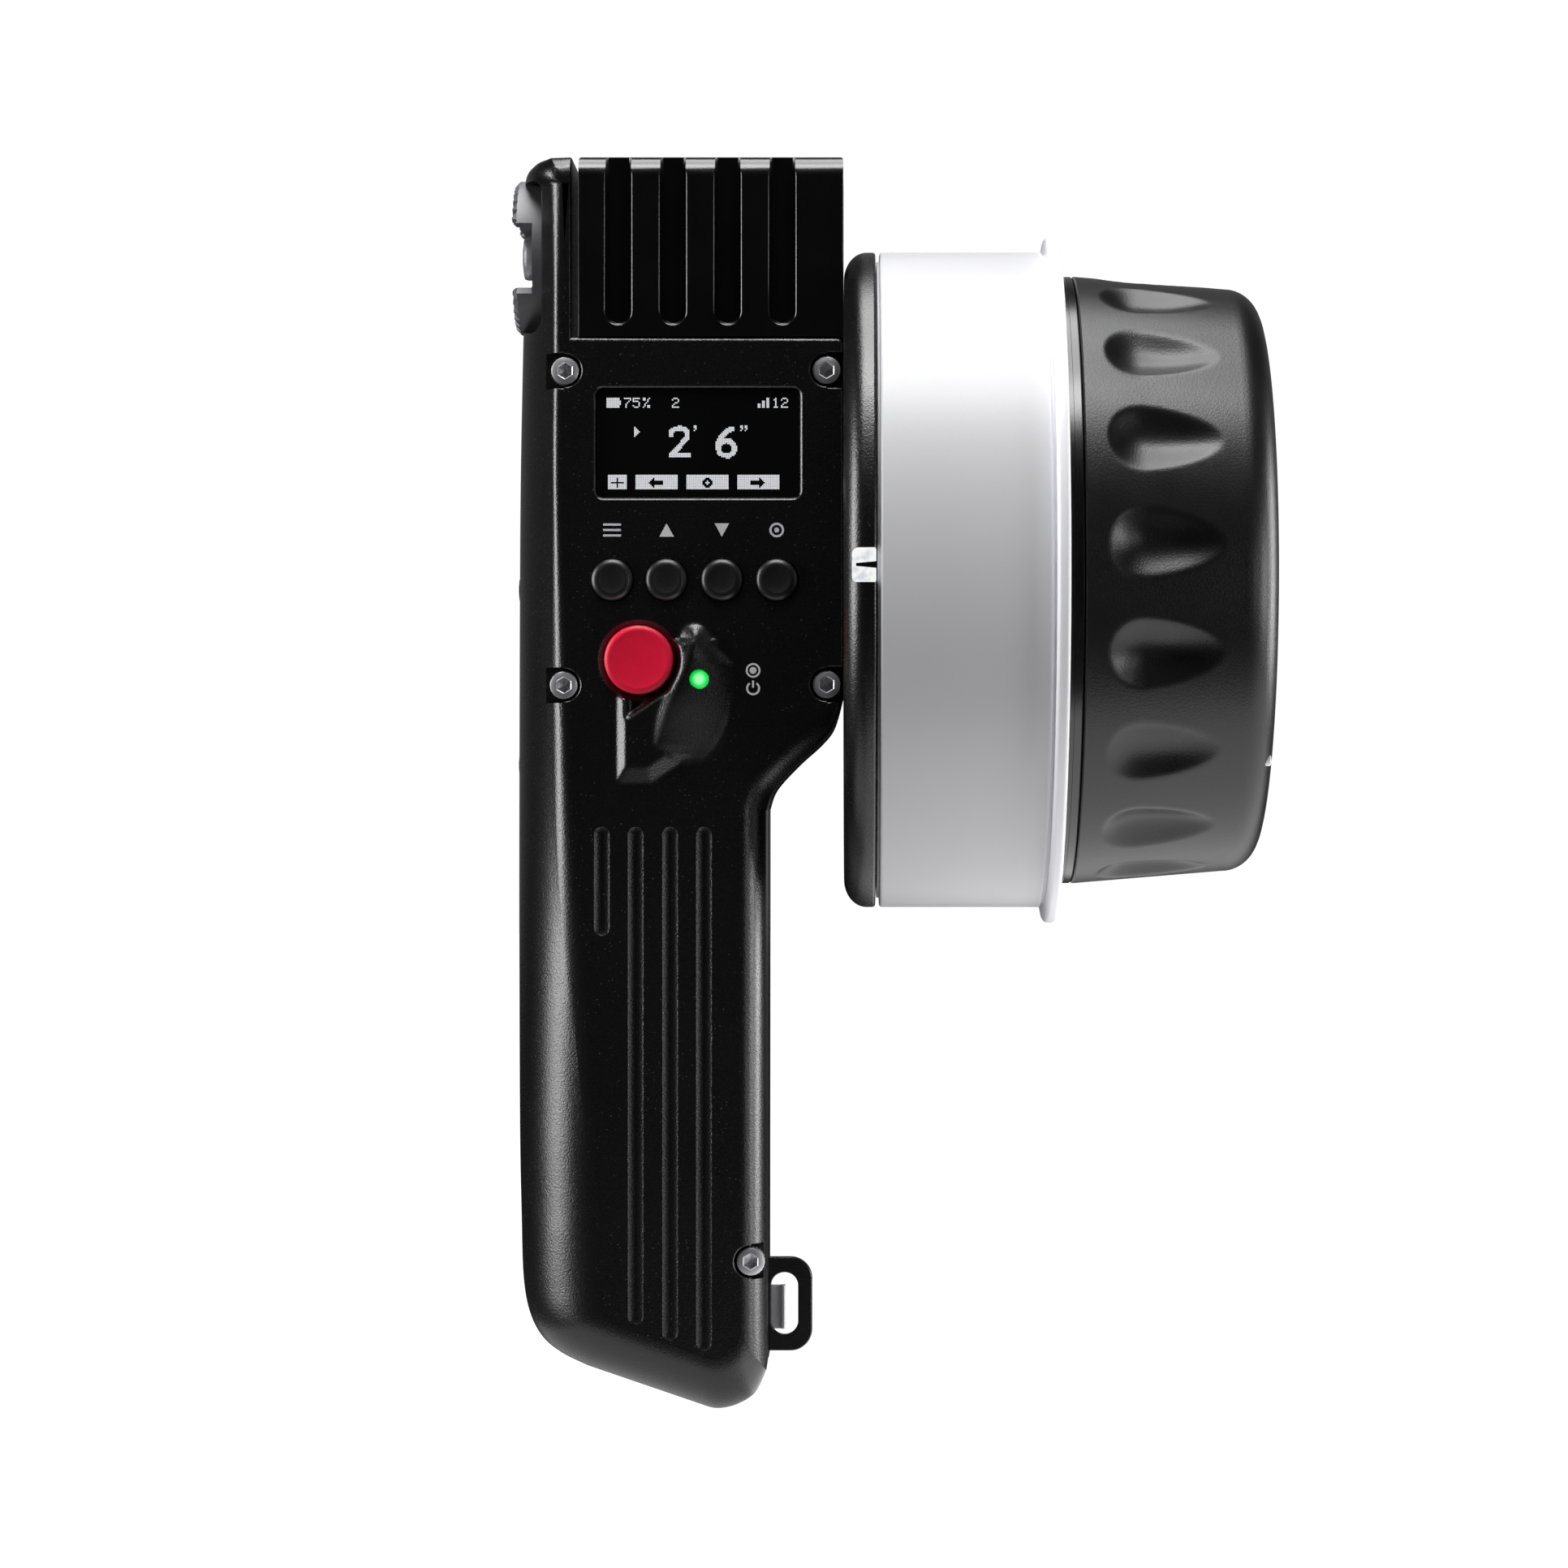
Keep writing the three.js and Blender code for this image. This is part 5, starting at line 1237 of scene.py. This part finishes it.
def knob_core():
    drum, core, bed = DRUM, CORE, SEAL_BED
    profile = [
        (drum["x0"], drum["inner"]), (drum["x0"], drum["radius"]), (bed["x0"], drum["radius"]),
        (bed["x0"], bed["radius"]), (bed["x1"], bed["radius"]), (bed["x1"], drum["radius"]),
        (drum["lip_start"], drum["radius"]), (drum["lip_start"] + 0.05, drum["lip"]),
        (drum["x1"] - 0.15, drum["lip"]), (drum["x1"], drum["lip"] - 0.15),
        (drum["x1"], core["neck"]), (core["end"], core["neck"]), (core["end"], core["nut"]),
        (core["stop"], core["nut"]), (core["stop"], core["bore"]), (core["hub_start"], core["bore"]),
        (core["hub_start"], core["hub"]), (core["end"] - core["wall"], core["hub"]),
        (core["end"] - core["wall"], core["neck"] - core["wall"]),
        (drum["x1"] + 0.5, core["neck"] - core["wall"]),
        (drum["x1"] - 2, drum["inner"]),
    ]
    hub_and_drum = turned("knob_drum", profile, "x", KNOB, 256, True)
    dressed(hub_and_drum, "black_plastic", "focus_knob", ["knob_core"], 25)


def dimple_depth(x, sideways):
    """Depth of a teardrop dimple: deep round end towards the ring, long tail towards the knob's end"""
    if x <= DIMPLE["x0"] or x >= DIMPLE["x1"]:
        return 0.0
    if x < DIMPLE["widest"]:
        lengthwise = (DIMPLE["widest"] - x) / (DIMPLE["widest"] - DIMPLE["x0"])
        across = abs(sideways) / DIMPLE["half"]
    else:
        lengthwise = (x - DIMPLE["widest"]) / (DIMPLE["x1"] - DIMPLE["widest"])
        across = abs(sideways) / (DIMPLE["half"] * (1 - 0.25 * lengthwise))
    bowl = max(0.0, 1 - lengthwise ** 2.3 - across ** 2)
    return DIMPLE["depth"] * bowl ** 1.35


def grip_sleeve():
    s = SLEEVE
    columns = DIMPLE["count"] * 30
    pitch = 2 * math.pi / DIMPLE["count"]
    skin = [mix(s["x0"] + 0.25, s["shoulder_x"], k / 64) for k in range(65)]
    corner = [k / 10 * math.pi / 2 for k in range(1, 11)]
    rings = []
    for j in range(columns):
        angle = 2 * math.pi * j / columns
        turn = (angle - math.radians(DIMPLE["first"])) / pitch
        sideways = (turn - round(turn)) * pitch * s["shoulder"]
        profile = [(s["x0"], s["start"] - 0.25)]
        for x in skin:
            radius = mix(s["start"], s["shoulder"], (x - s["x0"]) / (s["shoulder_x"] - s["x0"]))
            profile.append((x, radius - dimple_depth(x, sideways)))
        for turn_in in corner:
            profile.append((s["x1"] - s["corner"] * (1 - math.sin(turn_in)),
                            s["shoulder"] - s["corner"] * (1 - math.cos(turn_in))))
        profile += [(s["x1"], s["rim"] + 0.3), (s["x1"] - 0.3, s["rim"]), (s["foot"], s["rim"]),
                    (s["foot"], s["inner"]), (s["x0"], s["inner"])]
        rings.append(spoke(profile, angle, KNOB_Z))
    sleeve = stack("rubber_grip", rings, True)
    marker, marker_place = MARKER, (MARKER["y"], MARKER["z"])
    hole = turned("marker_hole", [(marker["foot"] - 0.1, marker["hole"]), (FAR, marker["hole"])], "x",
                  marker_place, 32)
    worked(sleeve, [hole])
    dressed(sleeve, "soft_rubber", "focus_knob", ["grip_sleeve"], 35)
    corners = [(marker["foot"], marker["radius"], 0), (marker["tip"], marker["radius"], 0.3),
               (marker["tip"], 0.1, 0)]
    pin = turned("marker_stud", rounded(corners, False), "x", marker_place, 32)
    dressed(pin, "ring_white", "focus_knob", ["marker_pin"], 40)


def end_cover():
    """Cap in the knob's end: a shallow dish with a turned groove and a raised centre"""
    x0, x1, radius = CORE["end"] + 0.1, 97.4, SLEEVE["rim"] - 0.2
    corners = [(x1, 0.2, 0), (x1, 9.5, 0.4), (x1 - 0.7, 10.2, 0.4), (x1 - 0.7, 31.8, 0.4), (x1, 32.5, 0.3),
               (x1, 34.4, 0.1), (x1 - 0.3, 34.6, 0.1), (x1 - 0.3, 35.1, 0.1), (x1, 35.3, 0.1),
               (x1, radius, 0.4), (x0, radius, 0)]
    dressed(turned("end_cap", rounded(corners, False), "x", KNOB, 192), "black_plastic", "focus_knob",
            ["knob_end_cover"], 30)


def marking_ring():
    r = RING
    step = r["radius"] - 1.5
    corners = [
        (r["x0"], r["bore"], 0.2), (r["x0"], step, 0.15), (r["step"], step, 0.1),
        (r["step"], r["radius"], 0.5), (r["x1"], r["radius"], 0.25), (r["x1"], r["radius"] - 0.6, 0.1),
        (r["groove"], r["radius"] - 0.6, 0.2),
        (r["groove"], r["flange"], 0.7), (r["x2"], r["flange"], 0.7), (r["x2"], r["bore"], 0.2),
    ]
    band = turned("marking_band", rounded(corners, steps=5), "x", KNOB, 288, True)
    dressed(band, "ring_white", "marking_ring", ["marking_ring"], 40)


def seal_ring():
    seal = RING_SEAL
    turns = [2 * math.pi * k / 16 for k in range(16)]
    profile = [(seal["x"] + seal["section"] * math.sin(t), seal["centre"] + seal["section"] * math.cos(t))
               for t in turns]
    ring = turned("grip_o_ring", profile, "x", KNOB, 192, True)
    dressed(ring, "soft_rubber", "focus_knob", ["ring_seal"], 60)


# Rosette, loop and clip

def rosette():
    """Toothed disc with a bevelled rim, a slot across it and a socket screw in the middle"""
    r = ROSETTE
    columns = r["teeth"] * 6
    floor = r["face"] + r["depth"]
    rings = []
    for j in range(columns):
        angle = 2 * math.pi * j / columns
        share = abs((j / 6) % 1 - 0.5) * 2
        top = mix(floor, r["face"], clamped(share * 1.5 - 0.25))
        bevel_start = min(r["radius"] - r["bevel"] + top - r["face"], r["radius"] - 0.02)
        bevel_end = max(r["face"] + r["bevel"], top + 0.02)
        profile = [(r["back"], 0.2), (r["back"], r["radius"]), (bevel_end, r["radius"]), (top, bevel_start),
                   (top, r["foot"]), (floor, r["foot"] - 0.35), (floor, 0.2)]
        rings.append(spoke(profile, angle, r["z"]))
    disc = stack("toothed_disc", rings, True)
    slot = ROSETTE_SLOT
    outline = [(-20.0, slot["z0"]), (20.0, slot["z0"]), (20.0, slot["z1"]), (-20.0, slot["z1"])]
    levels = [(r["face"] - 1, 0.35), (r["face"] + 0.1, 0.35), (r["face"] + 0.45, 0.0), (slot["floor"], 0.0)]
    tools = [prism("slot", outline, levels, "x"),
             turned("bore", [(r["face"] - 1, 2.55), (r["back"] + 1, 2.55)], "x", (0.0, r["z"]), 32)]
    for side in (-1, 1):
        wedge = [(side * 9.2, slot["z0"] + 0.05), (side * 13.2, slot["z0"] - 3.95),
                 (side * 14.0, slot["z0"] + 0.05)]
        tools.append(prism("slot_mouth", wedge, [(r["face"] - 1, 0.0), (slot["floor"] - 0.1, 0.0)], "x"))
    worked(disc, tools)
    dressed(disc, "rosette_metal", "handset", ["rosette"], 24)
    socket_screw("rosette_bolt", "screw_steel", "rosette_screw", "x", (0.0, r["z"]), **ROSETTE_BOLT)


def lanyard_loop():
    x0, x1, z0, z1 = LOOP["x0"], LOOP["x1"], LOOP["z0"], LOOP["z1"]
    half, corner = LOOP["half"], LOOP["corner"]
    outline = rounded([(x0, z0, 0), (x1, z0, corner), (x1, z1, corner), (x0, z1, 0)], steps=12)
    levels = [(-half, -0.2), (-half + 0.08, -0.07), (-half + 0.25, 0.0), (half - 0.25, 0.0),
              (half - 0.08, -0.07), (half, -0.2)]
    loop = prism("lanyard_eye", outline, levels)
    tongue = block("tongue", 17.3, x0 + 0.3, -half + 0.05, half - 0.05, z0 + 0.05, -28.7)
    foot = block("foot", 16.1, 17.5, -3.0, 3.0, z0 + 0.05, -28.7)
    worked(loop, [tongue, foot], "UNION")
    eye = LOOP_SLOT
    radius = (eye["x1"] - eye["x0"]) / 2
    slot = rounded_rect(eye["x0"], eye["x1"], eye["z0"], eye["z1"], radius * 0.99, 12)
    slot_levels = [(-half - 1, 0.3), (-half, 0.25), (-half + 0.08, 0.08), (-half + 0.25, 0.0),
                   (half - 0.25, 0.0), (half - 0.08, 0.08), (half, 0.25), (half + 1, 0.3)]
    worked(loop, [prism("eye_slot", slot, slot_levels)])
    dressed(loop, "black_steel", "handset", ["lanyard_loop"], 30)


def strap_clip():
    """Bent strip: a foot inside the wall, a flat stretch and a rolled end"""
    x0, x1, y0, y1 = CLIP["x0"], CLIP["x1"], CLIP["y0"], CLIP["y1"]
    outline = rounded([(x0, y0, 0.2), (x1 - 0.8, y0, 0.2), (x1 - 0.7, y0 - 0.4, 0.3), (x1, y0 - 0.4, 0.35),
                       (x1, y1 + 0.4, 0.35), (x1 - 0.7, y1 + 0.4, 0.3), (x1 - 0.8, y1, 0.2),
                       (x0 + 1.1, y1, 0.5), (x0 + 1.1, 10.0, 0.2), (x0, 10.0, 0.2)], steps=5)
    z0, z1 = CLIP["z0"], CLIP["z1"]
    clip = prism("clip_strip", outline, [(z0, -0.1), (z0 + 0.1, 0.0), (z1 - 0.1, 0.0), (z1, -0.1)], "z")
    dressed(clip, "bare_steel", "handset", ["strap_clip"], 30)


# Parts that stay as they come: the record says which finish each one has

def inner_parts():
    slots = {part["node"]: part["material_slot"] for part in frame["record"]["subparts"]}
    for name, node in frame["nodes"].items():
        node.data.materials.clear()
        node.data.materials.append(FINISHES[slots[name]])


# Studio

def camera():
    data = bpy.data.cameras.new("camera")
    data.lens = CAMERA["lens"]
    data.shift_x = CAMERA["shift"]
    view = bpy.data.objects.new("camera", data)
    view.location = Vector(CAMERA["place"]) * MM
    view.rotation_euler = (math.pi / 2, 0, 0)
    bpy.context.scene.collection.objects.link(view)
    bpy.context.scene.camera = view


def softbox(name, place, target, width, height, power):
    """Rectangular lamp that faces a target; places are in millimetres"""
    data = bpy.data.lights.new(name, "AREA")
    data.shape = "RECTANGLE"
    data.size = width * MM
    data.size_y = height * MM
    data.energy = power
    lamp = bpy.data.objects.new(name, data)
    lamp.location = Vector(place) * MM
    lamp.rotation_euler = (Vector(target) - Vector(place)).to_track_quat("-Z", "Y").to_euler()
    lamp.visible_camera = False
    bpy.context.scene.collection.objects.link(lamp)


def studio_light():
    softbox("top_box", (20, 50, 830), (25, 0, 80), 480, 560, 4.6)
    softbox("upper_strip", (20, -270, 690), (20, 0, 110), 480, 190, 3.0)
    softbox("left_box", (-790, -190, 40), (0, 0, 40), 380, 1000, 10.0)
    softbox("right_box", (760, 120, 0), (20, 0, 20), 260, 700, 6.0)
    softbox("side_strip", (694, -309, 66), (0, 0, 58), 200, 300, 1.3)
    softbox("front_strip", (500, -640, 66), (0, 0, 58), 110, 300, 0.3)
    softbox("low_box", (260, 40, FLOOR_Z + 6), (260, 40, 60), 420, 460, 0.85)
    softbox("low_glow", (-50, 20, FLOOR_Z + 6), (-50, 20, 60), 190, 300, 0.11)


def backdrop():
    """White surroundings, dim where they would light the object, and mirrored in it only from behind"""
    finish = Finish(bpy.context.scene.world or bpy.data.worlds.new("studio"))
    bpy.context.scene.world = finish.owner
    path = "ShaderNodeLightPath"
    towards = finish.node("ShaderNodeTexCoord", output="Generated")
    behind = finish.node("ShaderNodeSeparateXYZ", None, {"Vector": towards}, "Y")
    seen = finish.node(path, output="Is Camera Ray") + finish.node(path, output="Is Transmission Ray")
    mirrored = finish.node(path, output="Is Glossy Ray") * finish.ramp(behind, 0.7, 1.0) * 0.22
    light = finish.node("ShaderNodeBackground", None, {
        "Color": (1, 1, 1, 1), "Strength": seen + mirrored + 0.01,
    })
    finish.node("ShaderNodeOutputWorld", None, {"Surface": light})


def floor():
    """Pale floor, white in the picture, that keeps the object's shadow and hardly mirrors in the object"""
    size = 4000.0
    ground = new_piece("floor", [(-size, -size, FLOOR_Z), (size, -size, FLOOR_Z), (size, size, FLOOR_Z),
                                 (-size, size, FLOOR_Z)], [(0, 1, 2, 3)])
    finish = material("floor_white")
    path = "ShaderNodeLightPath"
    seen = finish.node(path, output="Is Camera Ray") + finish.node(path, output="Is Transmission Ray")
    matt = finish.node("ShaderNodeBsdfDiffuse", None, {"Color": seen * 0.78 + 0.04})
    glow = finish.node("ShaderNodeEmission", None, {"Color": (1, 1, 1, 1), "Strength": 1.15})
    from_object = finish.node("ShaderNodeVectorMath", {"operation": "DISTANCE"}, {
        0: finish.place(), 1: (0.0, 0.0, FLOOR_Z * MM),
    }, "Value")
    far_off = finish.ramp(from_object, 0.3, 0.8)
    share = seen * (far_off * 0.15 + 0.85)
    finish.node_out(finish.node("ShaderNodeMixShader", None, {0: share, 1: matt, 2: glow}))
    ground.data.materials.append(finish.owner)


bpy.context.scene.view_settings.view_transform = "Standard"
camera()
studio_light()
backdrop()
floor()
inner_parts()
front_shell()
rear_shell()
screws()
buttons()
status_light()
display()
printed_symbols()
battery_lid()
knob_base()
index_window()
knob_core()
grip_sleeve()
end_cover()
marking_ring()
seal_ring()
rosette()
lanyard_loop()
strap_clip()
